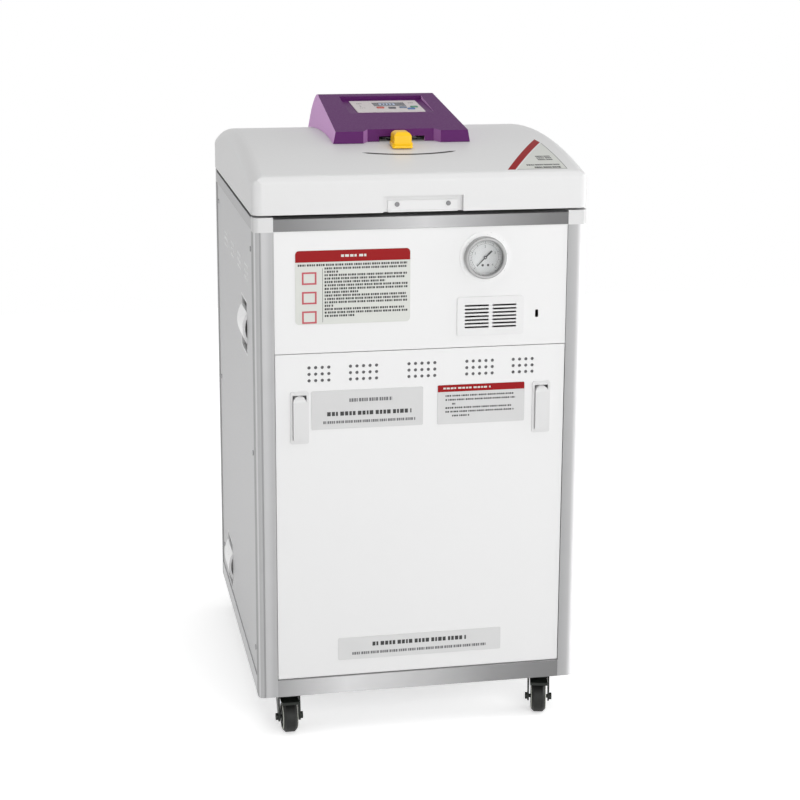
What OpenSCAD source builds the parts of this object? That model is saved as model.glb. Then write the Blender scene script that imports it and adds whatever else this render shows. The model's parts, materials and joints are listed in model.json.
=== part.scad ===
// Upright steam autoclave on casters, with a rear-hinged crowned lid.
// X points right, Y points to the back, Z points up, and the floor is at zero.

/* [Cabinet] */
// Room from the chamber's bore to each side of the cabinet
side_room = 85; // [82:1:110]
// Room from the chamber's bore to the front and to the back of the cabinet
end_room = 120; // [115:1:150]
// Room under the chamber's straight wall for the drain valve and the bottle
under_room = 214; // [208:1:300]
// Height of the frame above the floor
caster_h = 68; // [67:1:76]

/* [Frame] */
// Width of a corner post seen from the front
post_w = 30; // [26:1:36]
// Depth of a corner post seen from the side
post_d = 24; // [20:1:30]
// Wall of a corner post
post_wall = 2; // [1.5:0.1:2.5]
// Rounding of a post's outer edge
post_round = 9.5; // [8:0.5:10]
// Distance of the thin grooves from a post's outer edge
groove_in = 10; // [10:0.5:12]
// Width of the groove in a post's faces
groove_w = 1.5; // [1:0.5:3]
// Depth of the groove in a post's faces
groove_depth = 0.8; // [0.5:0.1:1.2]
// Height of a bright corner cap
cap_h = 22; // [18:1:28]
// Length of the plug that holds a cap in its post
cap_plug_h = 14; // [8:1:20]
// Height of the top rail's face
rail_top_h = 18; // [14:1:21]
// Drop of the deck below the tops of the caps
deck_drop = 3; // [2:0.5:4]
// Height of the bottom rail
rail_bottom_h = 27; // [22:1:34]
// Width of the lip folded in along the top of the bottom rail
rail_lip = 12; // [8:1:16]
// Thickness of the deck sheet and its rims
deck_t = 2; // [1.5:0.1:2.5]
// Thickness of the base tray
tray_t = 3; // [2:0.5:4]

/* [Panels] */
// Thickness of the panel sheet
sheet_t = 1.2; // [1:0.1:1.6]
// Depth of a panel's folded rim
fold_d = 14; // [10:1:18]
// Set-back of the panels behind the post faces
panel_recess = 1.5; // [1:0.1:2.5]
// Gap between a fixed panel and the frame
panel_gap = 0.5; // [0.3:0.1:0.8]
// Gap between the vent grille and the split of the front panels
split_gap = 18; // [8:0.5:40]
// Diameter of a vent hole
vent_d = 5; // [3:0.5:6]
// Spacing of the vent holes in a group
vent_pitch = 10; // [8:0.5:12]
// Rows of vent holes in a group
vent_rows = 3; // [2:1:4]
// Columns of vent holes in a full group
vent_cols = 5; // [3:1:6]
// Drop of the side vents below the top rail
side_vent_drop = 79; // [50:1:88]
// Spacing of the side vent groups
side_vent_pitch = 102; // [80:1:110]
// Number of hole groups in a row on each side
side_vent_groups = 4; // [2:1:4]
// Shift of the side vent groups toward the front
side_vent_shift = 26; // [0:1:40]

/* [Door] */
// Gap between the door and the posts
door_gap = 0.9; // [0.6:0.1:1.5]
// Gap above and below the door
door_end_gap = 1.2; // [1.1:0.1:1.6]
// Radius of the door's lower bend
door_bend = 2; // [1.8:0.1:2.4]
// Radius of the door's pivot pins
door_pin_r = 2; // [1.5:0.1:2.5]
// Distance of the pivot from the door's bottom edge and face
door_pin_inset = 4; // [3.5:0.1:4.4]
// Radial clearance of the small pivots
pivot_clear = 0.06; // [0.03:0.01:0.1]
// Drop of the door vents below the split
door_vent_drop = 32; // [20:1:36]
// Distance of the outer door vent groups from the posts
door_vent_inset = 67; // [50:1:75]
// Distance from the outer to the inner door vent groups
door_vent_step = 68; // [60:1:72]

/* [Door latches] */
// Distance of each latch from the posts
latch_inset = 37; // [30:1:45]
// Drop of the latch middles below the split
latch_drop = 98.5; // [92:0.5:140]
// Width of a latch plate
latch_w = 28; // [26:0.5:32]
// Height of a latch plate
latch_plate_h = 81; // [76:1:90]
// Thickness of a latch plate
latch_plate_t = 2.5; // [2:0.1:3.5]
// Depth of the latch box behind the door face
latch_box_d = 16; // [16:0.5:20]
// Wall of the latch box
latch_wall = 1.6; // [1.2:0.1:2]
// Width of a latch paddle
paddle_w = 20; // [18:0.5:21]
// Height of a latch paddle
paddle_h = 68; // [60:1:70]
// Projection of a paddle from its plate
paddle_proud = 5; // [4:0.5:6]
// Clearance round a paddle
paddle_clear = 0.6; // [0.4:0.1:1]

/* [Pressure gauge] */
// Distance of the gauge from the right post
gauge_inset = 130; // [110:1:150]
// Gap between the gauge's flange and the top rail
gauge_gap = 8.5; // [2:0.5:20]
// Outer radius of the bezel
bezel_r = 32; // [28:0.5:36]
// Width of the bezel's ring
bezel_w = 5.5; // [4:0.5:6]
// Projection of the bezel from the panel
bezel_proud = 14; // [13:0.5:18]
// Radius of the mounting flange
flange_r = 38.5; // [37:0.5:44]
// Thickness of the mounting flange
flange_t = 1.5; // [1:0.1:2.5]
// Depth of the gauge behind the panel
gauge_back = 20; // [16:1:26]
// Radius of the needle's spindle
spindle_r = 0.9; // [0.7:0.1:1.2]

/* [Vent grille] */
// Gap between the grille and the right post
grille_inset = 67.5; // [55:0.5:80]
// Gap between the gauge's flange and the grille
grille_gap = 22.5; // [10:0.5:30]
// Width of the grille
grille_w = 104; // [96:1:110]
// Height of the grille plate
grille_plate_h = 60; // [52:1:64]
// Thickness of the grille plate
grille_t = 2.5; // [2:0.1:4]
// Width of a grille slot
slot_w = 37.5; // [30:0.5:40]
// Height of a grille slot
slot_h = 2.8; // [2:0.1:3.2]
// Spacing of the grille slots
slot_pitch = 5.55; // [5:0.05:6]
// Number of slots in a column
slot_count = 7; // [5:1:8]
// Width of the bar between the slot columns
slot_bar = 5.5; // [4:0.5:8]
// Width of the small upright slot beside the grille
port_w = 5; // [4:0.5:6]
// Height of the small upright slot
port_h = 11.8; // [10:0.1:14]
// Gap between the grille and the middle of the upright slot
port_gap = 21; // [15:0.5:28]

/* [Plates] */
// Thickness of the printed plates
plate_t = 0.8; // [0.5:0.1:1.2]
// Width of the large plate on the upper panel
notice_w = 174; // [160:1:180]
// Height of the large plate
notice_h = 112; // [100:1:118]
// Gap between the large plate and the left post
notice_inset = 32; // [20:1:44]
// Gap between the large plate and the top rail
notice_gap = 29.5; // [12:0.5:34]
// Drop of the upper door plates below the split
plate_drop = 88.5; // [75:0.5:130]
// Gap between the left latch and the left door plate
name_gap = 4; // [2:0.5:10]
// Reach of the left door plate to the right of the middle
name_end = 2; // [0.5:0.5:6]
// Height of the left door plate
name_h = 60; // [50:1:64]
// Gap between the right door plate and the right latch
care_gap = 12.5; // [6:0.5:20]
// Gap between the two upper door plates
care_start = 22.5; // [16:0.5:28]
// Height of the right door plate
care_h = 62; // [50:1:64]
// Width of the low door plate
low_w = 260; // [220:1:300]
// Height of the low door plate
low_h = 36; // [28:1:44]
// Height of the low door plate's middle above the door's lower edge
low_rise = 43.8; // [30:0.1:60]

/* [Side grips] */
// Distance of the grips from the middle of the side
grip_y = 142; // [130:1:160]
// Drop of the upper grips below the top rail
grip_high_drop = 168.5; // [140:0.5:240]
// Gap between the lower grips and the bottom rail
grip_low_gap = 5; // [3:0.5:60]
// Length of a grip's recess along the side
grip_w = 80; // [70:1:90]
// Height of a grip's recess
grip_h = 86; // [80:1:96]
// Depth of a grip's recess
grip_d = 26; // [22:1:32]
// Wall of a grip's cup
grip_wall = 2; // [1.5:0.1:2.5]
// Height of the bowed bar in a recess
bar_h = 50; // [44:1:56]
// Bulge of the bowed bar beyond the panel
bar_bulge = 7; // [4:0.5:9]
// Thickness of the bowed bar
bar_t = 4; // [3:0.5:5]

/* [Chamber] */
// Inner radius of the chamber
chamber_r = 170; // [160:1:172]
// Wall of the chamber
chamber_wall = 3; // [2.5:0.1:4]
// Straight inner depth of the chamber
chamber_depth = 540; // [480:1:545]
// Depth of the dished bottom
dish_h = 28; // [22:1:34]
// Height of the sealing face above the tops of the caps
seat_rise = 1; // [0.5:0.1:1.5]
// Reach of the chamber flange beyond the chamber's bore
flange_reach = 14; // [13:0.5:15]
// Thickness of the chamber flange
flange_body_h = 14; // [12:0.5:16]
// Number of locking lugs
lug_count = 12; // [8:1:12]
// Angular width of a lug
lug_angle = 13; // [10:0.5:13]
// Radial reach of the chamber lugs beyond the flange
lug_reach = 13; // [11:0.5:14]
// Thickness of a lug
lug_t = 10; // [8:0.5:11]
// Gap between the lock ring's skirt and the deck's opening
deck_gap = 6; // [4:0.5:8]
// Gap between a basket and the chamber
basket_gap = 20; // [15:1:30]
// Room above the upper basket
basket_head = 50.2; // [45:0.1:80]
// Wall of a basket
basket_wall = 1.5; // [1:0.1:2]
// Gap between the chamber and the heater ring's middle
heater_gap = 60; // [45:1:80]
// Half height of the heater element
heater_tube_r = 4.5; // [4:0.1:6]

/* [Lid] */
// Overhang of the lid at each side
lid_side_over = 1; // [0.5:0.5:8]
// Overhang of the lid at the front and the back
lid_over = 2; // [1:0.5:2.5]
// Gap between the caps and the lid's lower edge
lid_gap = 3.5; // [3:0.1:5]
// Height of the lid's edge below the crown
lid_edge_h = 54.5; // [52:0.5:66]
// Rise of the crown
crown_h = 36; // [30:0.5:44]
// Wall of the lid cover
lid_wall = 3.5; // [2.5:0.1:4]
// Rounding of the crown's side edges
crown_round = 18; // [12:1:24]
// Rounding of the crown's front and back edges
front_round = 12; // [8:1:18]
// Rounding of the lid's upright corners
corner_round = 16; // [10:1:24]
// Half width of the finger notch
notch_x = 61; // [50:1:70]
// Height of the finger notch
notch_h = 24; // [20:1:28]
// Depth of the finger notch
notch_d = 8; // [6:0.5:11]
// Half width of the pull plate in the notch
pull_x = 53; // [44:1:56]
// Height of the pull plate
pull_h = 17; // [14:0.5:19]

/* [Lid hinge] */
// Radius of the hinge knuckles
knuckle_r = 7; // [6.5:0.1:7.2]
// Length of a moving knuckle
knuckle_w = 20; // [16:1:26]
// Radius of the hinge pin
hinge_pin_r = 3; // [2.5:0.1:3.5]
// Distance of each hinge from the middle
hinge_x = 150; // [120:1:180]
// Distance of the hinge axis behind the cabinet
hinge_y_off = 9.5; // [9.5:0.1:11]
// Height of the hinge axis above the tops of the caps
hinge_z_off = 2; // [1.8:0.1:2.2]

/* [Lock] */
// Rest angle of the lock lever, negative to the left
lock_rest = -2.5; // [-4:0.5:0]
// Turn of the lock lever to the locked place
lock_turn = 15; // [10:1:16]
// Running clearance between lugs and between sliding faces
lock_clear = 2; // [1.5:0.1:2.5]
// Gap between the chamber's lugs and the lock ring's skirt
skirt_gap = 3; // [2.5:0.1:5]
// Wall of the lock ring's skirt
skirt_t = 6; // [5:0.5:7]
// Width of the lever bar
bar_w = 14; // [10:0.5:16]
// Thickness of the lever bar
lever_t = 4; // [3:0.5:5]
// Reach of the lever bar in front of the control housing
lever_out = 35; // [31:1:39]
// Width of the lever knob's body
knob_w = 27; // [24:0.5:30]
// Length of the lever knob
knob_l = 38; // [34:1:42]
// Height of the lever knob's top above the bar
knob_top = 17; // [14:0.5:20]

/* [Control housing] */
// Half width of the housing at its foot
house_x = 110; // [106:1:114]
// Half width of the housing at its ridge
ridge_x = 98; // [94:1:104]
// Front face of the housing, measured from the chamber's axis
house_front = 127; // [125:1:129]
// Height of the housing's upright front band
band_h = 19; // [16:0.5:24]
// Radius of the housing's rounded back
back_r = 36; // [30:1:40]
// Place of the rounded back's centre behind the chamber's axis
back_y = 107; // [100:1:112]
// Height of the housing's ridge above the crown
ridge_h = 50; // [46:1:56]
// Wall of the housing
house_wall = 3; // [2.5:0.1:3.5]
// Half width of the alcove for the lever
alcove_x = 62; // [60:1:66]
// Depth of the alcove
alcove_d = 12; // [10:0.5:14]
// Sideways place of the control panel
panel_x = 5; // [0:1:8]
// Half width of the recess for the control panel
recess_x = 70; // [66:1:74]
// Front edge of the recess, measured from the chamber's axis
recess_front = 20; // [16:1:24]
// Length of the recess
recess_l = 110; // [108:1:114]
// Tilt of the control panel
panel_tilt = 6; // [5.5:0.1:6.5]
// Width of the control overlay
overlay_w = 112; // [108:1:116]
// Length of the control overlay
overlay_l = 90; // [88:1:94]
// Thickness of the control overlay
overlay_t = 1.2; // [1:0.1:1.6]
// Width of the display
display_w = 54; // [48:1:58]
// Length of the display
display_l = 32; // [28:1:34]
// Width of a key
key_w = 12; // [9:0.5:13]
// Length of a key
key_l = 9; // [7:0.5:10]
// Height of a key above the overlay
key_proud = 1.1; // [0.9:0.1:1.5]

/* [Casters] */
// Distance of the swivel axes from the cabinet's sides
caster_side = 50; // [48:1:60]
// Distance of the swivel axes from the cabinet's front and back
caster_end = 40; // [32:1:50]
// Radius of a wheel
wheel_r = 25; // [24:0.5:26]
// Width of a wheel
wheel_w = 24; // [20:0.5:26]
// Trail of a wheel from its swivel axis
trail = 16; // [12:0.5:18]
// Radius of an axle
axle_r = 3; // [2.5:0.1:4]
// Radius of a kingpin
kingpin_r = 5; // [4:0.5:6]
// Thickness of a caster's top plate
caster_plate_t = 3; // [2.5:0.1:4]
// Thickness of a fork leg
fork_t = 2.5; // [2:0.1:3]

/* [Hidden] */
$fn = 72;
// One overrun serves every cut
cut = 1;
// Clearance between pieces of one assembly that only touch
fit = 0.3;
// Running clearance of pins and shafts
run = 0.06;
// Fineness of the long radii, so that their chords stay close to the arc
fine = 720;

// Cabinet planes
cab_h = chamber_depth + under_room;
x_side = chamber_r + side_room;
y_face = chamber_r + end_room;
z_base = caster_h;
z_top = caster_h + cab_h;
z_deck = z_top - deck_drop;
x_in = x_side - post_w;
y_in = y_face - post_d;
panel_y = -y_face + panel_recess;
panel_xf = x_side - panel_recess;
z_rail_top = z_deck - rail_top_h;
z_rail_bottom = z_base + rail_bottom_h;

// Fittings of the upper front panel, placed from the top rail and the posts
gauge_x = x_in - gauge_inset;
gauge_z = z_rail_top - gauge_gap - flange_r;
grille_x = x_in - grille_inset - grille_w / 2;
grille_z = gauge_z - flange_r - grille_gap - grille_plate_h / 2;
port_x = grille_x + grille_w / 2 + port_gap;
port_rise = 1;
port_z = grille_z + port_rise;
notice_x = -x_in + notice_inset + notice_w / 2;
notice_z = z_rail_top - notice_gap - notice_h / 2;
z_split = grille_z - grille_plate_h / 2 - split_gap;

// Door planes
door_bottom = z_rail_bottom + door_end_gap;
door_top = z_split - door_end_gap / 2;
door_pin_y = panel_y + door_pin_inset;
door_pin_z = door_bottom + door_pin_inset;
door_pin_reach = 3;

// Latch geometry
latch_x = x_in - latch_inset;
latch_z = z_split - latch_drop;
paddle_pivot_z = latch_z + paddle_h / 2 - paddle_w / 2;
trunnion_r = 2;
trunnion_bite = 1.2;
paddle_y = panel_y - latch_plate_t - paddle_proud;
paddle_pivot_y = panel_y + trunnion_r + latch_wall / 2;
paddle_roll = paddle_pivot_y - paddle_y;
latch_corner = 3;

// Lid planes
lid_w = 2 * x_side + 2 * lid_side_over;
lid_d = 2 * y_face + 2 * lid_over;
z_lid = z_top + lid_gap;
z_crown = z_lid + lid_edge_h + crown_h;
crown_r = (pow(lid_d / 2, 2) + pow(crown_h, 2)) / (2 * crown_h);
crown_axis_z = z_crown - crown_r;
frame_plate_t = 2.5;
lid_clear = 0.3;

// Chamber and lock planes
z_seat = z_top + seat_rise;
z_chamber = z_seat - chamber_depth;
chamber_ro = chamber_r + chamber_wall;
flange_body_r = chamber_r + flange_reach;
lug_drop = 2;
z_lug_top = z_seat - lug_drop;
z_ring_lug = z_lug_top - lug_t - lock_clear;
z_ring = z_ring_lug - lug_t;
z_trough = z_ring - 3 * lock_clear;
lug_r = flange_body_r + lug_reach;
ring_lug_r = flange_body_r + 2 * lock_clear;
skirt_r = lug_r + skirt_gap;
deck_hole_r = skirt_r + skirt_t + deck_gap;
collar_t = 4;
seal_gap = 2;
lid_flange_t = 12;
lid_flange_r = flange_body_r - seat_rise;
dome_h = 30;
dome_inset = 20;
dome_r = chamber_r - dome_inset;
dome_t = 4;
z_dish = z_seat + seal_gap + lid_flange_t;
dome_sphere = (pow(dome_r, 2) + pow(dome_h, 2)) / (2 * dome_h);
ring_plate_t = 4;
ring_plate_inset = 10;
ring_plate_r = chamber_r - ring_plate_inset;
ring_plate_gap = 8;
z_ring_plate = z_dish + ring_plate_gap;
spider_gap = 6;
z_spider = z_dish + dome_h + spider_gap;
boss_r = 18;
hub_r = 30;
hub_over = 2;
bridge_gap = 1;
z_bridge = z_spider + ring_plate_t + 2 * hub_over + 2 * lock_clear + bridge_gap;
bridge_t = 6;
bridge_y = 25;
bridge_foot = 10;
bridge_x = (deck_hole_r + x_side) / 2 + 2 * bridge_gap;
lever_gap = 0.8;
post_in = 37;
post_r = house_front - post_in;
lever_reach = house_front + lever_out;
post_rod_r = 7;

// Height of the crown's outer surface at a distance from its ridge
function crown_z(y, grow = 0) = crown_axis_z + sqrt(pow(crown_r + grow, 2) - pow(y, 2));
z_lever = crown_z(post_r - post_rod_r) + lever_gap;

// Hinge axis
hinge_y = y_face + hinge_y_off;
hinge_z = z_top + hinge_z_off;
leaf_t = 3;

// Housing planes
z_ridge = z_crown + ridge_h;
z_band = crown_z(house_front) + band_h;
back_z = z_ridge - back_r;
house_foot = crown_z(house_front) - crown_h / 2;

// Angle of a line from a point that just touches a circle on its upper side
function touch_angle(dy, dz, r) = atan2(dz, dy) + asin(r / norm([dy, dz]));
slope = touch_angle(back_y + house_front, back_z - z_band, back_r);
panel_z = z_band + (house_front - recess_front) * tan(slope);

// Caster planes
caster_x = x_side - caster_side;
caster_y = y_face - caster_end;
axle_z = wheel_r;
fork_head_t = 4;
head_r = 21;
race_t = 3;
z_head = z_base - caster_plate_t - race_t - fit - fork_head_t;
leg_gap = 3;
hub_half = wheel_w / 2 + leg_gap;
nut_r = 5.5;
nut_t = 4;
caster_plate_x = 44;
caster_plate_y = 58;
// Angle at which each caster stands, front ones first, left before right
caster_turns = [0, -14, 160, 205];

// Box from one corner to the opposite corner
module span(lo, hi) {
    translate(lo) cube(hi - lo);
}

// Round rod along X, centred on the origin
module rod_x(r, l, fn = $fn) {
    rotate([0, 90, 0]) cylinder(r = r, h = l, center = true, $fn = fn);
}

// Round rod along Y from the origin toward the back
module rod_y(r, l) {
    rotate([-90, 0, 0]) cylinder(r = r, h = l);
}

// Rectangle with round corners, centred on the origin
module round_rect(w, h, r) {
    square([w - 2 * r, h], center = true);
    square([w, h - 2 * r], center = true);
    for (sx = [-1, 1], sy = [-1, 1])
        translate([sx * (w / 2 - r), sy * (h / 2 - r)]) circle(r = r);
}

// Flat plate that faces the front, with its back face on the given plane
module front_plate(x, z, y_back, w, h, t, r) {
    translate([x, y_back, z]) rotate([90, 0, 0]) linear_extrude(t) round_rect(w, h, r);
}

// Place something at all four corners of the cabinet, mirrored about the middle
module four_corners() {
    for (sx = [0, 1], sy = [0, 1]) mirror([sx, 0, 0]) mirror([0, sy, 0]) children();
}

/* Frame */

// Plan of a corner post, drawn from its outer corner at the left front
module post_plan(inset = 0) {
    r = post_round - inset;
    translate([-x_side, -y_face]) {
        translate([post_round, inset]) square([post_w - post_round - inset, post_d - 2 * inset]);
        translate([inset, post_round]) square([post_w - 2 * inset, post_d - post_round - inset]);
        translate([post_round, post_round]) circle(r = r);
    }
}

module post_bar() {
    linear_extrude(cab_h - cap_h) difference() {
        post_plan();
        post_plan(post_wall);
        translate([-x_side + groove_in, -y_face - cut]) square([groove_w, groove_depth + cut]);
        translate([-x_side - cut, -y_face + groove_in]) square([groove_depth + cut, groove_w]);
    }
}

module corner_posts() {
    color("silver") translate([0, 0, z_base]) four_corners() post_bar();
    color("silver") for (side = [-1, 1])
        translate([side * (x_in - door_pin_reach / 2 + fit), door_pin_y, door_pin_z])
            rod_x(door_pin_r, door_pin_reach + 2 * fit);
}

module corner_caps() {
    color("whitesmoke") four_corners() {
        translate([0, 0, z_top - cap_h]) linear_extrude(cap_h) post_plan();
        translate([0, 0, z_top - cap_h - cap_plug_h])
            linear_extrude(cap_plug_h) post_plan(post_wall + fit);
    }
}

// Four corner blocks that clear the posts
module post_clearance(z0, h) {
    four_corners() translate([0, 0, z0]) linear_extrude(h)
        translate([-x_side - cut, -y_face - cut]) square([post_w + cut, post_d + cut]);
}

module base_tray() {
    pan = [x_side, y_face, 0];
    color("silver") difference() {
        span(-pan + [0, 0, z_base], pan + [0, 0, z_rail_bottom]);
        span([-x_side + tray_t, -y_face + tray_t, z_base + tray_t],
            [x_side - tray_t, y_face - tray_t, z_rail_bottom - tray_t]);
        span([-x_side + rail_lip, -y_face + rail_lip, z_rail_bottom - tray_t - cut],
            [x_side - rail_lip, y_face - rail_lip, z_rail_bottom + cut]);
        post_clearance(z_base - cut, rail_bottom_h + 2 * cut);
        for (sx = [-1, 1], sy = [-1, 1])
            translate([sx * caster_x, sy * caster_y, z_base - cut])
                cylinder(r = kingpin_r + cut, h = tray_t + 2 * cut);
    }
}

// Deck with turned-down rims and a trough under the lid's lock ring
module top_deck() {
    half = [x_side, y_face, 0];
    color("lightgray") difference() {
        union() {
            span(-half + [0, 0, z_rail_top], half + [0, 0, z_deck]);
            translate([0, 0, z_trough - deck_t])
                cylinder(r = deck_hole_r + deck_t, h = z_deck - z_trough);
        }
        difference() {
            span([-x_side + deck_t, -y_face + deck_t, z_rail_top - cut],
                [x_side - deck_t, y_face - deck_t, z_deck - deck_t]);
            translate([0, 0, z_trough - deck_t])
                cylinder(r = deck_hole_r + deck_t, h = z_deck - z_trough);
        }
        translate([0, 0, z_trough]) cylinder(r = deck_hole_r, h = z_deck - z_trough + cut);
        translate([0, 0, z_trough - deck_t - cut])
            cylinder(r = chamber_ro + fit, h = deck_t + 2 * cut);
        post_clearance(z_rail_top - cut, rail_top_h + 2 * cut);
    }
}

/* Panels */

// Grid of vent holes along X and Z, drilled through in Y
module vent_group(cols, len) {
    for (i = [0:cols - 1], j = [0:vent_rows - 1])
        translate([(i - (cols - 1) / 2) * vent_pitch, 0, (j - (vent_rows - 1) / 2) * vent_pitch])
            rod_y(vent_d / 2, len);
}

// Shallow pan of sheet with its open side toward the back
module front_pan(x_half, z0, z1) {
    difference() {
        span([-x_half, panel_y, z0], [x_half, panel_y + fold_d, z1]);
        span([-x_half + sheet_t, panel_y + sheet_t, z0 + sheet_t],
            [x_half - sheet_t, panel_y + fold_d + cut, z1 - sheet_t]);
    }
}

grille_lip = 4;

module front_panel() {
    color("white") difference() {
        front_pan(x_in - panel_gap, z_split + door_end_gap / 2, z_rail_top - panel_gap);
        translate([gauge_x, panel_y - cut, gauge_z]) rod_y(bezel_r + fit, sheet_t + 2 * cut);
        span([grille_x - grille_w / 2 + grille_lip, panel_y - cut,
                grille_z - grille_plate_h / 2 + grille_lip],
            [grille_x + grille_w / 2 - grille_lip, panel_y + sheet_t + cut,
                grille_z + grille_plate_h / 2 - grille_lip]);
        front_plate(port_x, port_z, panel_y + sheet_t + cut, port_w, port_h,
            sheet_t + 2 * cut, port_w / 4);
    }
}

grip_high_z = z_rail_top - grip_high_drop;
grip_low_z = z_rail_bottom + grip_low_gap + grip_h / 2;

// Side panel at the left; the right one is its mirror
module side_panel() {
    z0 = z_rail_bottom + panel_gap;
    z1 = z_rail_top - panel_gap;
    y1 = y_in - panel_gap;
    group_span = (side_vent_groups - 1) / 2 * side_vent_pitch;
    color("white") difference() {
        span([-panel_xf, -y1, z0], [-panel_xf + fold_d, y1, z1]);
        span([-panel_xf + sheet_t, -y1 + sheet_t, z0 + sheet_t],
            [-panel_xf + fold_d + cut, y1 - sheet_t, z1 - sheet_t]);
        for (k = [0:side_vent_groups - 1])
            translate([-panel_xf - cut, k * side_vent_pitch - group_span - side_vent_shift,
                    z_rail_top - side_vent_drop])
                rotate([0, 0, -90]) vent_group(vent_cols, sheet_t + 2 * cut);
        for (g = [[-grip_y, grip_high_z], [grip_y, grip_low_z]])
            translate([-panel_xf - cut, g[0] - grip_w / 2, g[1] - grip_h / 2])
                cube([sheet_t + 2 * cut, grip_w, grip_h]);
        side_screw_places() rod_x(screw_r + fit, 4 * fold_d);
    }
}

module side_panel_left() {
    side_panel();
}

module side_panel_right() {
    mirror([1, 0, 0]) side_panel();
}

screw_r = 1.8;
screw_l = 8;
screw_head_r = 4;
screw_head_t = 1.6;
screw_inset = 20;
back_screw_inset = 8;

// Screw heights on the sides, as shares of the frame's height
screw_shares = [0.09, 0.51, 0.93];

module side_screw_places() {
    for (sy = [-1, 1], s = screw_shares)
        translate([-panel_xf, sy * (y_in - screw_inset), z_base + s * cab_h]) children();
}

module back_screw_places() {
    for (sx = [-1, 1], s = screw_shares)
        translate([sx * (x_in - back_screw_inset), -panel_y, z_base + s * cab_h]) children();
}

// Pan-head screw whose head stands on the origin's plane and points to -X
module side_screw() {
    rotate([0, -90, 0]) cylinder(r = screw_head_r, h = screw_head_t);
    rotate([0, 90, 0]) cylinder(r = screw_r, h = screw_l);
}

module panel_screws() {
    color("gray") {
        side_screw_places() side_screw();
        mirror([1, 0, 0]) side_screw_places() side_screw();
        back_screw_places() rotate([0, 0, -90]) side_screw();
    }
}

gland_inset = 75;
gland_x = x_in - gland_inset;
gland_r = 11;
gland_bore_r = 9;
gland_z = z_base + rail_bottom_h + fold_d + gland_r * 3;
outlet_r = 8;
drain_pipe_r = 7;
drain_z = z_base + rail_bottom_h + 3 * fold_d;

module back_panel() {
    color("white") difference() {
        mirror([0, 1, 0])
            front_pan(x_in - panel_gap, z_rail_bottom + panel_gap, z_rail_top - panel_gap);
        back_screw_places() rotate([90, 0, 0])
            cylinder(r = screw_r + fit, h = 2 * fold_d, center = true);
        translate([gland_x, -panel_y - fold_d, gland_z]) rod_y(gland_bore_r, 2 * fold_d);
        translate([0, -panel_y - fold_d, drain_z]) rod_y(drain_pipe_r + fit, 2 * fold_d);
    }
}

/* Side grips */

// Bowed bar between the end walls of a recess
module bow() {
    bow_r = (pow(bar_h / 2, 2) + pow(bar_bulge, 2)) / (2 * bar_bulge);
    intersection() {
        translate([-panel_xf - bar_bulge + bow_r, 0, 0]) rotate([90, 0, 0]) difference() {
            cylinder(r = bow_r, h = grip_w - 2 * fit, center = true);
            cylinder(r = bow_r - bar_t, h = grip_w, center = true);
        }
        translate([-panel_xf - bar_bulge - cut, -grip_w / 2, -bar_h / 2])
            cube([bar_bulge + bar_t + 2 * cut, grip_w, bar_h]);
    }
}

// Cup with the bowed bar across its mouth, centred on the recess
module grip() {
    side = [0, grip_w / 2 - fit, grip_h / 2 - fit];
    difference() {
        span([-panel_xf, 0, 0] - side, [-panel_xf + grip_d, 0, 0] + side);
        span([-panel_xf - cut, grip_wall, grip_wall] - side,
            [-panel_xf + grip_d - grip_wall, -grip_wall, -grip_wall] + side);
    }
    bow();
}

module grip_pair() {
    color("white") {
        translate([0, -grip_y, grip_high_z]) grip();
        translate([0, grip_y, grip_low_z]) grip();
    }
}

module grips_left() {
    grip_pair();
}

module grips_right() {
    mirror([1, 0, 0]) grip_pair();
}

/* Upper panel fittings */

module vent_grille() {
    col = (slot_w + slot_bar) / 2;
    color("white") difference() {
        front_plate(grille_x, grille_z, panel_y, grille_w, grille_plate_h, grille_t, grille_lip);
        for (sx = [-1, 1], k = [0:slot_count - 1])
            front_plate(grille_x + sx * col, grille_z + (k - (slot_count - 1) / 2) * slot_pitch,
                panel_y + cut, slot_w, slot_h, grille_t + 2 * cut, slot_h / 3);
    }
}

glass_t = 1.5;
dial_t = 1;
dial_gap = 3;
dial_depth = bezel_w + glass_t + dial_gap;
dial_clear = 0.2;
case_wall = 2;
stem_r = 6;
bezel_y = panel_y - bezel_proud;

module gauge_case() {
    color("gainsboro") translate([gauge_x, bezel_y, gauge_z]) difference() {
        union() {
            translate([0, bezel_w / 2, 0]) rod_y(bezel_r, bezel_proud + gauge_back - bezel_w / 2);
            translate([0, bezel_w / 2, 0]) rotate([90, 0, 0]) rotate_extrude()
                translate([bezel_r - bezel_w / 2, 0]) circle(r = bezel_w / 2);
            translate([0, bezel_proud - flange_t, 0]) rod_y(flange_r, flange_t);
            translate([0, bezel_proud + gauge_back, 0]) rod_y(stem_r, gauge_back / 2);
        }
        translate([0, -cut, 0]) rod_y(bezel_r - bezel_w, bezel_w + cut);
        translate([0, bezel_w, 0])
            rod_y(bezel_r - case_wall, bezel_proud + gauge_back - bezel_w - case_wall);
    }
}

module gauge_glass() {
    color("lightcyan", 0.4) translate([gauge_x, bezel_y + bezel_w, gauge_z])
        rod_y(bezel_r - case_wall - dial_clear, glass_t);
}

module gauge_dial() {
    color("white") translate([gauge_x, bezel_y + dial_depth, gauge_z]) {
        rod_y(bezel_r - case_wall - dial_clear, dial_t);
        translate([0, -(dial_depth - bezel_w - glass_t) + dial_clear, 0])
            rod_y(spindle_r, dial_depth);
    }
}

needle_hub_r = 2.6;
needle_t = 0.8;
needle_tip = 18;
needle_tail = 14;
needle_rest = 225;

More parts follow.
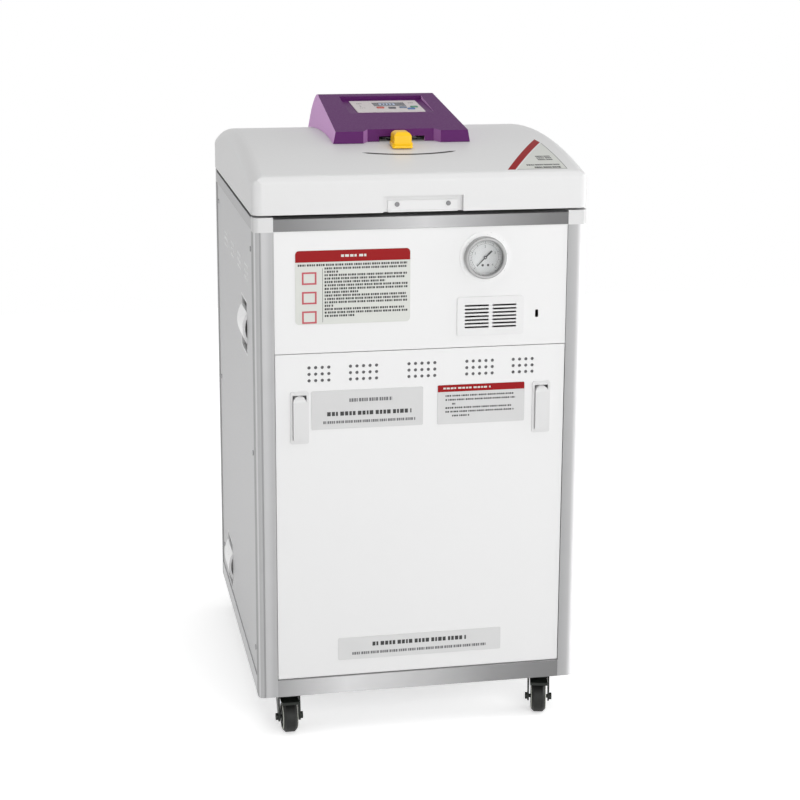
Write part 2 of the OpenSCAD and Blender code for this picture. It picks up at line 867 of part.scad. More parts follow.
// Needle seen from the front: tip at its rest angle, counted from the right
module gauge_needle() {
    color("black") translate([gauge_x, bezel_y + dial_depth - 2 * needle_t, gauge_z])
        rotate([90, 0, 0]) difference() {
            union() {
                cylinder(r = needle_hub_r, h = needle_t);
                rotate([0, 0, needle_rest]) linear_extrude(needle_t)
                    polygon([[0, -spindle_r], [needle_tip, -spindle_r / 3],
                        [needle_tip, spindle_r / 3], [0, spindle_r]]);
                rotate([0, 0, needle_rest + 180]) linear_extrude(needle_t)
                    polygon([[0, -spindle_r], [needle_tail, -needle_hub_r / 2],
                        [needle_tail, needle_hub_r / 2], [0, spindle_r]]);
            }
            translate([0, 0, -cut]) cylinder(r = spindle_r + run, h = needle_t + 2 * cut);
        }
}

plate_round = 6;

module notice_plate() {
    color("ivory") front_plate(notice_x, notice_z, panel_y, notice_w, notice_h, plate_t, plate_round);
}

/* Chamber */

// Wedges that part the lugs, opened wide enough to cut a whole ring
module lug_wedges(r, h, turn) {
    reach = 2 * r;
    for (k = [0:lug_count - 1])
        rotate([0, 0, turn + k * 360 / lug_count]) linear_extrude(h)
            polygon([[0, 0], reach * [cos(lug_angle / 2), -sin(lug_angle / 2)],
                reach * [cos(lug_angle / 2), sin(lug_angle / 2)]]);
}

module lug_ring(r_in, r_out, z0, turn) {
    translate([0, 0, z0]) intersection() {
        difference() {
            cylinder(r = r_out, h = lug_t);
            translate([0, 0, -cut]) cylinder(r = r_in, h = lug_t + 2 * cut);
        }
        lug_wedges(r_out, lug_t, turn);
    }
}

dish_sphere = (pow(chamber_ro, 2) + pow(dish_h, 2)) / (2 * dish_h);

// Dished cap below the chamber's straight wall, thinner by the inset
module dish(inset = 0) {
    intersection() {
        translate([0, 0, z_chamber - dish_h + dish_sphere]) sphere(r = dish_sphere - inset, $fn = fine / 2);
        translate([0, 0, z_chamber - dish_h - cut])
            cylinder(r = chamber_ro - inset, h = dish_h + cut);
    }
}

port_r = 5;
heater_x = 25;
heater_r = chamber_r - heater_gap;
heater_z = z_chamber + 3 * heater_tube_r;
rest_z = heater_z + 4 * heater_tube_r;
rest_size = [24, 14, 8];

module chamber() {
    color("lightsteelblue") {
        difference() {
            union() {
                dish();
                translate([0, 0, z_chamber]) cylinder(r = chamber_ro, h = chamber_depth);
                translate([0, 0, z_seat - flange_body_h])
                    cylinder(r = flange_body_r, h = flange_body_h);
                translate([0, 0, z_trough]) cylinder(r = flange_body_r, h = collar_t);
            }
            dish(chamber_wall);
            translate([0, 0, z_chamber - fit])
                cylinder(r = chamber_r, h = chamber_depth + fit + cut);
            for (sx = [-1, 1]) translate([sx * heater_x, 0, heater_z])
                rod_y(heater_tube_r + fit, chamber_ro);
            translate([gauge_x, -chamber_ro, gauge_z]) rod_y(port_r, chamber_ro / 2);
            translate([0, 0, z_chamber - 2 * dish_h]) cylinder(r = outlet_r, h = 2 * dish_h);
        }
        lug_ring(flange_body_r - cut, lug_r, z_lug_top - lug_t, 0);
        for (k = [0:2]) rotate([0, 0, 90 + k * 120])
            translate([chamber_r - rest_size[0] + cut, -rest_size[1] / 2, rest_z])
                cube(rest_size);
    }
}

module heater() {
    gland_l = 14;
    color("dimgray") {
        translate([0, 0, heater_z]) rotate_extrude()
            translate([heater_r, 0]) square(2 * heater_tube_r, center = true);
        for (sx = [-1, 1]) translate([sx * heater_x, 0, heater_z]) {
            translate([0, sqrt(pow(heater_r, 2) - pow(heater_x, 2)), 0])
                rod_y(heater_tube_r, chamber_ro + gland_l + heater_tube_r - heater_r);
            translate([0, chamber_ro + fit, 0]) rod_y(2 * heater_tube_r, gland_l);
        }
    }
}

basket_r = chamber_r - basket_gap;
basket_z = rest_z + rest_size[2];
basket_h = (z_seat - basket_head - basket_z - fit) / 2;

module basket(z0) {
    color("silver") translate([0, 0, z0]) difference() {
        cylinder(r = basket_r, h = basket_h);
        translate([0, 0, basket_wall]) cylinder(r = basket_r - basket_wall, h = basket_h);
    }
}

module basket_lower() {
    basket(basket_z);
}

module basket_upper() {
    basket(basket_z + basket_h + fit);
}

/* Pipework */

pipe_r = 5;
valve_r = 9;
pipe_y0 = panel_y + gauge_back * 1.5;
pipe_y1 = -sqrt(pow(chamber_ro, 2) - pow(gauge_x - pipe_r, 2)) - fit;
nut_y1 = -sqrt(pow(chamber_ro, 2) - pow(gauge_x - valve_r, 2)) - fit;
valve_y = pipe_y0 + (pipe_y1 - pipe_y0) / 2;
valve_h = 30;

// Straight pipe from the chamber to the gauge, with a tee for the safety valve
module gauge_pipe() {
    union() {
        translate([gauge_x, pipe_y0, gauge_z]) rod_y(pipe_r, pipe_y1 - pipe_y0);
        translate([gauge_x, valve_y, gauge_z]) cylinder(r = valve_r, h = valve_r + pipe_r);
        translate([gauge_x, nut_y1 - 2 * pipe_r, gauge_z]) rod_y(valve_r, 2 * pipe_r);
    }
}

module safety_valve() {
    spring_h = 18;
    color("goldenrod") translate([gauge_x, valve_y, gauge_z + valve_r + pipe_r]) {
        cylinder(r = valve_r, h = valve_h / 2);
        translate([0, 0, valve_h / 2]) cylinder(r = valve_r / 2, h = spring_h);
    }
}

valve_block = [44, 40, 34];
drain_y = y_face / 2;
drain_len = -panel_y + 2 * fold_d;
stub_l = 13;
stub_collar = 2.2;
collar_r = 11;
coil_r = 17;
coil_h = 44;

module drain_pipe() {
    difference() {
        union() {
            translate([0, 0, drain_z]) cylinder(r = outlet_r - fit, h = z_chamber - drain_z - dish_h / 2);
            translate([0, 0, drain_z]) sphere(r = outlet_r);
            translate([0, 0, drain_z]) rod_y(outlet_r, drain_y - valve_block[1] / 2);
            translate([0, drain_y + valve_block[1] / 2, drain_z])
                rod_y(drain_pipe_r, -panel_y + fit - drain_y - valve_block[1] / 2);
            translate([0, -panel_y + fit, drain_z]) rod_y(collar_r, stub_collar);
            translate([0, -panel_y + fit + stub_collar, drain_z]) rod_y(outlet_r, stub_l);
        }
        translate([0, drain_y + valve_block[1] / 2, drain_z]) rod_y(outlet_r / 2, drain_len);
    }
}

module pipes() {
    color("peru") {
        gauge_pipe();
        drain_pipe();
    }
}

module drain_valve() {
    color("goldenrod") translate([0, drain_y, drain_z]) {
        translate(-valve_block / 2) cube(valve_block);
        translate([0, 0, valve_block[2] / 2]) cylinder(r = coil_r, h = coil_h);
    }
}

bottle_size = [150, 90, 130];
bottle_wall = 2.5;
bottle_round = 14;
neck_r = 20;
neck_h = 22;

module condensate_bottle() {
    y0 = panel_y + 2 * fold_d + bottle_size[1] / 2;
    inner = bottle_size - 2 * [bottle_wall, bottle_wall, bottle_wall];
    color("aliceblue") translate([0, y0, z_base + tray_t]) difference() {
        union() {
            linear_extrude(bottle_size[2]) round_rect(bottle_size[0], bottle_size[1], bottle_round);
            translate([0, 0, bottle_size[2]]) cylinder(r = neck_r, h = neck_h);
        }
        translate([0, 0, bottle_wall]) linear_extrude(inner[2])
            round_rect(inner[0], inner[1], bottle_round - bottle_wall);
        translate([0, 0, bottle_size[2] / 2])
            cylinder(r = neck_r - bottle_wall, h = bottle_size[2] + neck_h);
    }
}

module cable_gland() {
    color("dimgray") translate([gland_x, -panel_y, gland_z]) difference() {
        union() {
            rotate([-90, 0, 0]) cylinder(r = gland_r, h = fold_d / 2, $fn = 6);
            translate([0, -fold_d, 0]) rod_y(gland_bore_r - fit, fold_d);
            rod_y(gland_r * nose_share, fold_d);
        }
        translate([0, -2 * fold_d, 0]) rod_y(gland_r / 2, 4 * fold_d);
    }
}

// Nose of the gland, as a share of its nut
nose_share = 0.75;

/* Casters */

// Place of each caster's swivel axis, front ones first, left before right
function caster_at(k) = [(k % 2 == 0 ? -1 : 1) * caster_x, (k < 2 ? -1 : 1) * caster_y, 0];

module at_caster(k) {
    translate(caster_at(k)) rotate([0, 0, caster_turns[k]]) children();
}

module caster_plates() {
    color("black") for (k = [0:3]) translate(caster_at(k)) difference() {
        union() {
            translate([-caster_plate_x / 2, -caster_plate_y / 2, z_base - caster_plate_t])
                cube([caster_plate_x, caster_plate_y, caster_plate_t]);
            translate([0, 0, z_base - caster_plate_t - race_t])
                cylinder(r = head_r - race_t, h = race_t);
        }
        translate([0, 0, z_head]) cylinder(r = kingpin_r + run, h = z_base - z_head + cut);
    }
}

module fork_side() {
    translate([hub_half, 0, 0]) intersection() {
        translate([0, -head_r - trail, axle_z - nut_r - fork_t])
            cube([fork_t, 2 * head_r + 2 * trail, z_head + fork_head_t - axle_z + nut_r + fork_t]);
        rotate([90, 0, 90]) linear_extrude(fork_t) {
            polygon([[-trail - nut_r - fork_t, axle_z], [-trail + nut_r + fork_t, axle_z],
                [head_r - fork_t, z_head + fork_head_t], [-head_r + fork_t, z_head + fork_head_t]]);
            translate([-trail, axle_z]) circle(r = nut_r + fork_t);
        }
    }
}

module fork(k) {
    axle_half = hub_half + fork_t + nut_t;
    color("black") at_caster(k) {
        translate([0, 0, z_head]) cylinder(r = head_r, h = fork_head_t);
        translate([0, 0, z_head]) cylinder(r = kingpin_r, h = z_base - z_head - fit);
        fork_side();
        mirror([1, 0, 0]) fork_side();
        translate([0, -trail, axle_z]) {
            rod_x(axle_r, 2 * axle_half);
            for (sx = [-1, 1]) translate([sx * (axle_half - nut_t / 2), 0, 0]) rod_x(nut_r, nut_t);
        }
        if (k < 2) translate([0, pedal_y, pedal_z]) rod_x(pedal_pin_r, 2 * hub_half + fork_t);
    }
}

wheel_bevel = 5;
hub_r_wheel = 13;
hub_dish = 2;

module wheel(k) {
    core = wheel_w - 2 * wheel_bevel;
    color("dimgray") at_caster(k) translate([0, -trail, axle_z]) difference() {
        rotate([0, 90, 0]) rotate_extrude() polygon([[0, -wheel_w / 2], [wheel_r - wheel_bevel, -wheel_w / 2],
            [wheel_r, -core / 2], [wheel_r, core / 2], [wheel_r - wheel_bevel, wheel_w / 2],
            [0, wheel_w / 2]]);
        rod_x(axle_r + run, 2 * wheel_w);
        for (sx = [-1, 1]) translate([sx * wheel_w / 2, 0, 0]) difference() {
            rod_x(hub_r_wheel + hub_dish * 2, 2 * hub_dish);
            rod_x(hub_r_wheel - hub_dish * 2, 4 * hub_dish);
        }
    }
}

pedal_pin_r = 1.6;
pedal_back = 9;
pedal_lift = 4.5;
pedal_y = -trail + pedal_back;
pedal_z = axle_z + wheel_r + pedal_lift;
pedal_t = 2;
pedal_reach = 34;
pedal_w = 28;
pedal_drop = 2.4;

// Brake pedal over a front wheel, swung about a pin in the fork
module pedal(k) {
    color("black") at_caster(k) translate([0, pedal_y, pedal_z]) difference() {
        union() {
            translate([-pedal_w / 2, -pedal_reach, -pedal_t / 2]) cube([pedal_w, pedal_reach, pedal_t]);
            translate([-pedal_w / 2, -pedal_reach, -pedal_t / 2])
                cube([pedal_w, pedal_t * 2, pedal_t + pedal_drop]);
            rod_x(pedal_pin_r + pedal_t / 2, pedal_w);
        }
        rod_x(pedal_pin_r + run, 2 * pedal_w);
    }
}

/* Door */

module door() {
    x_half = x_in - door_gap;
    outer = x_in - door_vent_inset;
    inner = outer - door_vent_step;
    groups = [[-outer, vent_cols - 1], [-inner, vent_cols], [0, vent_cols], [inner, vent_cols],
        [outer, vent_cols - 1]];
    color("white") difference() {
        front_pan(x_half, door_bottom, door_top);
        lower_bend(x_half);
        for (g = groups) translate([g[0], panel_y - cut, z_split - door_vent_drop])
            vent_group(g[1], sheet_t + 2 * cut);
        for (sx = [-1, 1]) translate([sx * latch_x, 0, latch_z])
            latch_cavity(latch_wall + fit, sheet_t + cut);
        translate([0, door_pin_y, door_pin_z]) rod_x(door_pin_r + pivot_clear, 2 * x_side);
    }
}

// Waste outside the door's lower bend
module lower_bend(x_half) {
    translate([0, panel_y, door_bottom]) difference() {
        span([-x_half - cut, -cut, -cut], [x_half + cut, door_bend, door_bend]);
        translate([0, door_bend, door_bend]) rod_x(door_bend, 4 * x_half);
    }
}

// Room of the latch box in the door's sheet, grown by the margin
module latch_cavity(margin, depth) {
    w = paddle_w / 2 + paddle_clear + margin;
    low = -paddle_h / 2 - paddle_clear - margin;
    high = paddle_pivot_z - latch_z + max(paddle_w / 2, paddle_roll) + paddle_clear + margin;
    span([-w, panel_y - cut, low], [w, panel_y + depth, high]);
}

module latch_boxes() {
    color("gainsboro") for (sx = [-1, 1]) difference() {
        union() {
            front_plate(sx * latch_x, latch_z, panel_y, latch_w, latch_plate_h, latch_plate_t,
                latch_corner);
            translate([sx * latch_x, cut, latch_z]) latch_cavity(latch_wall, latch_box_d - cut);
        }
        translate([sx * latch_x, -latch_plate_t - cut, latch_z])
            latch_cavity(0, latch_box_d + latch_plate_t - latch_wall + cut);
        translate([sx * latch_x, paddle_pivot_y, paddle_pivot_z])
            rod_x(trunnion_r + pivot_clear, latch_w);
    }
}

// Paddle with a round top that rolls about its two trunnions
module paddle(side) {
    color("gainsboro") translate([side * latch_x, paddle_pivot_y, paddle_pivot_z]) {
        intersection() {
            translate([0, trunnion_r, 0]) rotate([90, 0, 0]) linear_extrude(paddle_roll + trunnion_r) {
                circle(r = paddle_w / 2);
                translate([-paddle_w / 2, paddle_w / 2 - paddle_h])
                    square([paddle_w, paddle_h - paddle_w / 2]);
            }
            union() {
                rod_x(paddle_roll, paddle_w);
                span([-paddle_w / 2, -paddle_roll, -paddle_h], [paddle_w / 2, trunnion_r, 0]);
            }
        }
        rod_x(trunnion_r, paddle_w + 2 * (paddle_clear + trunnion_bite));
    }
}

module latch_paddle_left() {
    paddle(-1);
}

module latch_paddle_right() {
    paddle(1);
}

latch_edge = latch_x - latch_w / 2;
name_w = latch_edge - name_gap + name_end;
name_x = name_end - name_w / 2;
care_w = latch_edge - care_gap - name_end - care_start;
care_x = latch_edge - care_gap - care_w / 2;
plate_z = z_split - plate_drop;
low_z = door_bottom + low_rise;
small_round = 2;

module door_plates() {
    color("silver") {
        front_plate(name_x, plate_z, panel_y, name_w, name_h, plate_t, small_round);
        front_plate(care_x, plate_z, panel_y, care_w, care_h, plate_t, small_round);
        front_plate(0, low_z, panel_y, low_w, low_h, plate_t, small_round);
    }
}

/* Lid */

// Crowned lid block, smaller on every side by the inset
module lid_block(inset = 0) {
    hw = lid_w / 2 - inset;
    hd = lid_d / 2 - inset;
    r = crown_r - inset;
    er = max(crown_round - inset, fit);
    fr = max(front_round - inset, fit);
    cr = max(corner_round - inset, fit);
    top = z_crown + cut;
    intersection() {
        translate([0, 0, z_lid - 2 * cut]) linear_extrude(top - z_lid + 2 * cut)
            round_rect(2 * hw, 2 * hd, cr);
        translate([0, 0, crown_axis_z]) rotate([0, 90, 0]) rotate_extrude($fn = fine)
            rim_plan(hw, r, er);
        rotate([90, 0, 90]) linear_extrude(lid_w + 2 * cut, center = true)
            side_plan(hd, fr, inset);
    }
}

// Half section of the crown's wheel: radius along X, width along Y
module rim_plan(hw, r, er) {
    translate([0, -hw]) square([r - er, 2 * hw]);
    translate([0, -hw + er]) square([r, 2 * hw - 2 * er]);
    for (s = [-1, 1]) translate([r - er, s * (hw - er)]) circle(r = er);
}

// Side outline with rounded front and back edges under the crown
module side_plan(hd, fr, inset) {
    edge_z = crown_z(hd - fr, -inset) - fr / cos(edge_slope(hd - fr));
    difference() {
        translate([-hd, z_lid - 2 * cut]) square([2 * hd, z_crown - z_lid + 4 * cut]);
        for (s = [-1, 1]) difference() {
            translate([s * (hd - fr / 2 + cut / 2) - (fr + cut) / 2, edge_z])
                square([fr + cut, z_crown]);
            translate([s * (hd - fr), edge_z]) circle(r = fr);
        }
    }
}

// Slope of the crown at a distance from its ridge
function edge_slope(y) = asin(y / crown_r);

// Block behind the finger notch, grown by the margin
module notch_block(margin) {
    translate([-notch_x - margin, -lid_d / 2 - cut, z_lid - 3 * cut])
        cube([2 * (notch_x + margin), notch_d + margin + cut, notch_h + margin + 3 * cut]);
}

// Opening in the cover for the lever's post
module post_slot() {
    translate([0, 0, z_bridge]) rotate([0, 0, lock_rest + lock_turn / 2])
        translate([-2 * post_rod_r - bar_w, -post_r - 2 * post_rod_r, 0])
            cube([4 * post_rod_r + 2 * bar_w, 4 * post_rod_r, z_crown - z_bridge + cut]);
}

module lid_cover() {
    color("gainsboro") difference() {
        intersection() {
            lid_block();
            translate([-lid_w, -lid_d, z_lid]) cube([2 * lid_w, 2 * lid_d, lid_edge_h * 2]);
        }
        difference() {
            lid_block(lid_wall);
            notch_block(lid_wall);
        }
        notch_block(0);
        post_slot();
    }
}

// Steel frame inside the cover: floor plate, bridge over the lock and hinge leaves
module lid_frame() {
    hx = lid_w / 2 - lid_wall - lid_clear;
    hy = lid_d / 2 - lid_wall - lid_clear;
    color("lightgray") {
        difference() {
            translate([0, 0, z_lid]) linear_extrude(frame_plate_t)
                round_rect(2 * hx, 2 * hy, corner_round - lid_wall);
            translate([0, 0, z_lid - cut])
                cylinder(r = deck_hole_r - cut, h = frame_plate_t + 2 * cut);
            notch_block(lid_wall + lid_clear);
        }
        for (sx = [-1, 1]) translate([sx * (bridge_x - bridge_foot / 2), 0, z_lid + frame_plate_t])
            translate([-bridge_foot / 2, -bridge_y, 0])
                cube([bridge_foot, 2 * bridge_y, z_bridge - z_lid - frame_plate_t]);
        translate([-bridge_x, -bridge_y, z_bridge]) cube([2 * bridge_x, 2 * bridge_y, bridge_t]);
        for (sx = [-1, 1]) hinge_leaf(sx * hinge_x);
    }
}

module hinge_leaf(x) {
    difference() {
        union() {
            translate([x - knuckle_w / 2, y_in, z_lid - leaf_t])
                cube([knuckle_w, hinge_y - y_in, leaf_t]);
            translate([x, hinge_y, hinge_z]) rod_x(knuckle_r, knuckle_w);
        }
        translate([x, hinge_y, hinge_z]) rod_x(hinge_pin_r + run, 2 * knuckle_w);
    }
}

// Fixed knuckles with their pin, on a plate behind the top rail
module hinge_brackets() {
    side_gap = 1;
    outer = knuckle_w * 1.5 + side_gap;
    color("gray") for (sx = [-1, 1]) translate([sx * hinge_x, 0, 0]) {
        translate([-outer, y_face, z_rail_top]) cube([2 * outer, leaf_t, rail_top_h]);
        for (s = [-1, 1]) translate([s * (knuckle_w + side_gap), 0, 0]) {
            translate([0, hinge_y, hinge_z]) rod_x(knuckle_r, knuckle_w);
            translate([-knuckle_w / 2, y_face, z_deck - knuckle_r])
                cube([knuckle_w, hinge_y_off, knuckle_r + deck_drop]);
        }
        translate([0, hinge_y, hinge_z]) rod_x(hinge_pin_r, 2 * outer);
    }
}

pull_t = 2;
pull_lip = 5;
notch_back = -lid_d / 2 + notch_d;

module pull_plate() {
    color("white") {
        translate([-pull_x, notch_back - pull_t, z_lid]) cube([2 * pull_x, pull_t, pull_h]);
        translate([-pull_x, notch_back - pull_lip, z_lid]) cube([2 * pull_x, pull_lip, pull_t]);
    }
}

pull_screw_in = 14;
pull_screw_x = pull_x - pull_screw_in;
pull_screw_r = 3.6;
pull_screw_t = 1.2;

module pull_screws() {
    color("silver") for (sx = [-1, 1])
        translate([sx * pull_screw_x, notch_back - pull_t - pull_screw_t, z_lid + pull_h * 2 / 3])
            rod_y(pull_screw_r, pull_screw_t);
}

module pressure_lid() {
    color("lightsteelblue") {
        difference() {
            translate([0, 0, z_seat + seal_gap]) cylinder(r = lid_flange_r, h = lid_flange_t);
            translate([0, 0, z_seat]) cylinder(r = dome_r - dome_t, h = lid_flange_t * 2);
            translate([0, 0, z_seat + seal_gap - cut]) seal_ring(fit, seal_gap + cut + fit);
        }
        difference() {
            intersection() {
                translate([0, 0, z_dish + dome_h - dome_sphere]) sphere(r = dome_sphere, $fn = fine / 2);
                translate([0, 0, z_dish]) cylinder(r = dome_r, h = dome_h + cut);
            }
            translate([0, 0, z_dish + dome_h - dome_sphere]) sphere(r = dome_sphere - dome_t, $fn = fine / 2);
        }
        translate([0, 0, z_dish + dome_h - dome_t / 2])
            cylinder(r = boss_r, h = z_bridge - z_dish - dome_h + dome_t / 2);
        translate([0, 0, z_dish + dome_h - dome_t / 2])
            cylinder(r = boss_r + 2 * dome_t, h = z_spider - hub_over - fit - z_dish - dome_h + dome_t / 2);
    }
}

seal_w = 7;
seal_r = (chamber_r + flange_body_r) / 2 - seal_w / 2 + fit;

module seal_ring(grow, h) {
    difference() {
        cylinder(r = seal_r + seal_w + grow, h = h);
        translate([0, 0, -cut]) cylinder(r = seal_r - grow, h = h + 2 * cut);
    }
}

module lid_seal() {
    color("tomato") translate([0, 0, z_seat + fit]) seal_ring(0, 2 * seal_gap - fit);
}

/* Lock */

module lock_turned() {
    rotate([0, 0, lock_rest]) children();
}

module lock_ring() {
    arm_w = 20;
    z_hub = z_spider - hub_over;
    hub_h = ring_plate_t + 2 * hub_over;
    color("darkgray") {
        difference() {
            translate([0, 0, z_ring])
                cylinder(r = skirt_r + skirt_t, h = z_ring_plate + ring_plate_t - z_ring);
            translate([0, 0, z_ring - cut]) cylinder(r = skirt_r, h = z_ring_plate - z_ring + cut);
            translate([0, 0, z_ring_plate - cut])
                cylinder(r = ring_plate_r, h = ring_plate_t + 2 * cut);
        }
        lug_ring(ring_lug_r, skirt_r + cut, z_ring, 180 / lug_count);
        lock_turned() difference() {
            union() {
                translate([0, 0, z_hub]) cylinder(r = hub_r, h = hub_h);
                for (a = [0:90:270]) rotate([0, 0, a]) {
                    translate([0, -arm_w / 2, z_spider])
                        cube([skirt_r, arm_w, ring_plate_t]);
                    translate([skirt_r - arm_w, -arm_w / 2, z_ring_plate])
                        cube([arm_w, arm_w, z_spider + ring_plate_t - z_ring_plate]);
                }
                translate([0, -post_r, z_spider]) cylinder(r = post_rod_r, h = z_lever - z_spider);
            }
            translate([0, 0, z_hub - cut]) cylinder(r = boss_r + run, h = hub_h + 2 * cut);
        }
    }
}

module lock_lever() {
    color("silver") lock_turned() translate([-bar_w / 2, -lever_reach, z_lever])
        cube([bar_w, lever_reach - post_r + post_rod_r, lever_t]);
}

knob_round = 8;
knob_over = 9;
knob_y = -lever_reach - knob_over;
knob_foot = 2.5;
knob_skirt_h = 8;

module lock_knob() {
    z_foot = z_lever - knob_skirt_h;
    z_end = z_lever + knob_top;
    h = z_end - z_foot;
    color("orange") lock_turned() difference() {
        union() {
            intersection() {
                translate([0, knob_y + knob_l, (z_foot + z_end) / 2]) rotate([90, 0, 0])
                    linear_extrude(knob_l) round_rect(knob_w, h, knob_round);
                translate([0, knob_y + knob_l / 2, z_foot + h / 2]) rotate([90, 0, 90])
                    linear_extrude(knob_w, center = true) round_rect(knob_l, h, knob_round);
            }
            translate([0, knob_y + knob_l / 2, z_foot]) linear_extrude(knob_skirt_h)
                round_rect(knob_w + 2 * knob_foot, knob_l - knob_foot, knob_round / 2);
        }
        translate([-bar_w / 2 - run, -lever_reach - run, z_lever - run])
            cube([bar_w + 2 * run, lever_reach, lever_t + 2 * run]);
        translate([0, 0, crown_axis_z]) rod_x(crown_r + lock_clear, 4 * knob_w, fine);
    }
}

/* Control housing */

// Side outline of the housing, smaller by the inset
module house_side(inset) {
    r = back_r - inset;
    a = slope;
    p = [-house_front + inset, z_band - inset * (1 / cos(a) - tan(a))];
    q = [back_y, back_z] + r * [-sin(a), cos(a)];
    translate([back_y, back_z]) circle(r = r);
    polygon([[p[0], house_foot], p, q, [back_y, back_z], [back_y + r, back_z],
        [back_y + r, house_foot]]);
}

module house_block(inset = 0) {
    lean = (house_x - ridge_x) / (z_ridge - house_foot);
    foot_x = house_x + lean * crown_h / 2 - inset;
    corner = 8;
    intersection() {
        rotate([90, 0, 90]) linear_extrude(2 * house_x + 2 * cut, center = true) house_side(inset);
        translate([0, 2 * house_x, 0]) rotate([90, 0, 0]) linear_extrude(4 * house_x)
            polygon([[-foot_x, house_foot - cut], [foot_x, house_foot - cut],
                [ridge_x - inset, z_ridge + cut], [-ridge_x + inset, z_ridge + cut]]);
        translate([0, (back_y + back_r - house_front) / 2, house_foot - cut])
            linear_extrude(z_ridge - house_foot + 2 * cut)
                round_rect(2 * foot_x, back_y + back_r + house_front - 2 * inset,
                    corner - inset);
    }
}

// Sideways slant of the alcove's walls, as a share of its depth
slant_share = 0.75;

// Alcove in the housing's front, grown by the margin
module alcove(margin) {
    w0 = alcove_x + margin;
    w1 = alcove_x - alcove_d * slant_share + margin;
    translate([0, -house_front, house_foot - cut]) linear_extrude(z_ridge - house_foot)
        polygon([[-w0 - cut / 2, -cut], [w0 + cut / 2, -cut], [w1, alcove_d + margin],
            [-w1, alcove_d + margin]]);
}

// Frame of the control panel: X right, Y up the slope, Z out of the panel
module on_panel() {
    translate([panel_x, -recess_front, panel_z]) rotate([panel_tilt, 0, 0]) children();
}

// Recess above the control panel, grown by the margin
module recess(margin) {
    on_panel() translate([-recess_x - margin, -margin, -margin])
        cube([2 * (recess_x + margin), recess_l + 2 * margin, ridge_h]);
}

well_margin = 3;
slot_room = 22;
overlay_down = 5;
overlay_y = recess_l / 2 - overlay_down;

module control_housing() {
    slot_x0 = house_front * sin(lock_rest) - bar_w / 2 - slot_room;
    slot_x1 = house_front * sin(lock_rest + lock_turn) + bar_w / 2 + 2 * lock_clear;
    color("purple") difference() {
        house_block();
        difference() {
            house_block(house_wall);
            alcove(house_wall);
            recess(house_wall);
        }
        alcove(0);
        recess(0);
        translate([slot_x0, -house_front, house_foot - cut])
            cube([slot_x1 - slot_x0, 2 * alcove_d + house_wall,
                z_lever + lever_t + cut - house_foot + cut]);
        on_panel() translate([-overlay_w / 2 + well_margin, overlay_y - overlay_l / 2 + well_margin,
                -2 * house_wall])
            cube([overlay_w - 2 * well_margin, overlay_l - 2 * well_margin, 3 * house_wall]);
        translate([0, 0, crown_axis_z]) rod_x(crown_r + fit, 4 * house_x, fine);
    }
}

display_x = 6;
display_up = 14.5;
display_y = overlay_y + display_up;
display_d = 6;

// Key places on the panel, from the display's own place
key_names = ["red", "dark", "grey", "green", "blue"];
key_gap = 7;
key_step = 19;
key_row = display_y - display_l / 2 - key_gap - key_l / 2;
key_places = [[display_x - key_step, key_row], [display_x, key_row - key_gap / 2],
    [display_x + key_step, key_row], [display_x + 2 * key_step, key_row + key_gap / 2],
    [display_x + key_step * 1.6, key_row - key_gap - key_l / 2]];
key_clear = 0.3;
key_body = 4;

module key_plan(grow = 0) {
    round_rect(key_w + 2 * grow, key_l + 2 * grow, key_l / 4);
}

module control_overlay() {
    color("lightgray") on_panel() difference() {
        translate([0, overlay_y, 0]) linear_extrude(overlay_t)
            round_rect(overlay_w, overlay_l, 2 * overlay_t);
        translate([display_x, display_y, -cut]) linear_extrude(overlay_t + 2 * cut)
            square([display_w, display_l], center = true);
        for (p = key_places) translate([p[0], p[1], -cut]) linear_extrude(overlay_t + 2 * cut)
            key_plan(key_clear);
    }
}

module display() {
    color("darkslategray") on_panel() translate([display_x, display_y, overlay_t - display_d])
        linear_extrude(display_d - fit) square([display_w - fit, display_l - fit], center = true);
}

module key(k) {
    on_panel() translate([key_places[k][0], key_places[k][1], overlay_t - key_body])
        linear_extrude(key_body + key_proud) key_plan();
}

module key_red() {
    color("firebrick") key(0);
}

module key_dark() {
    color("dimgray") key(1);
}

module key_grey() {
    color("slategray") key(2);
}

module key_green() {
    color("seagreen") key(3);
}

module key_blue() {
    color("steelblue") key(4);
}

base_tray();
corner_posts();
top_deck();
corner_caps();
front_panel();
side_panel_left();
side_panel_right();
back_panel();
panel_screws();
grips_left();
grips_right();
vent_grille();
gauge_case();
gauge_dial();
gauge_glass();
gauge_needle();
notice_plate();
chamber();
heater();
basket_lower();
basket_upper();
safety_valve();
pipes();
drain_valve();
condensate_bottle();
cable_gland();
caster_plates();
hinge_brackets();
door();
latch_boxes();
door_plates();
latch_paddle_left();
latch_paddle_right();
lid_cover();
lid_frame();
pull_plate();
pull_screws();
control_housing();
control_overlay();
display();
pressure_lid();
lid_seal();
lock_ring();
lock_lever();
lock_knob();
key_red();
key_dark();
key_grey();
key_green();
key_blue();
fork(0);  // fork_front_left
fork(1);  // fork_front_right
fork(2);  // fork_rear_left
fork(3);  // fork_rear_right
wheel(0);  // wheel_front_left
wheel(1);  // wheel_front_right
wheel(2);  // wheel_rear_left
wheel(3);  // wheel_rear_right
pedal(0);  // pedal_left
pedal(1);  // pedal_right
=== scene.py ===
# %% [markdown]
# # Looks of an upright steam autoclave
# The model comes in as a fixed frame, in metres. X points right, Y to the back and Z up.
# Its shapes are finished already, so the lesson is about looks: every part gets a material
# with its own grain, the plates and the dial get their printed marks, and then come the
# floor, the lights and the camera.

# %% Load the frame
import bpy
import json
import math
from mathutils import Matrix, Vector


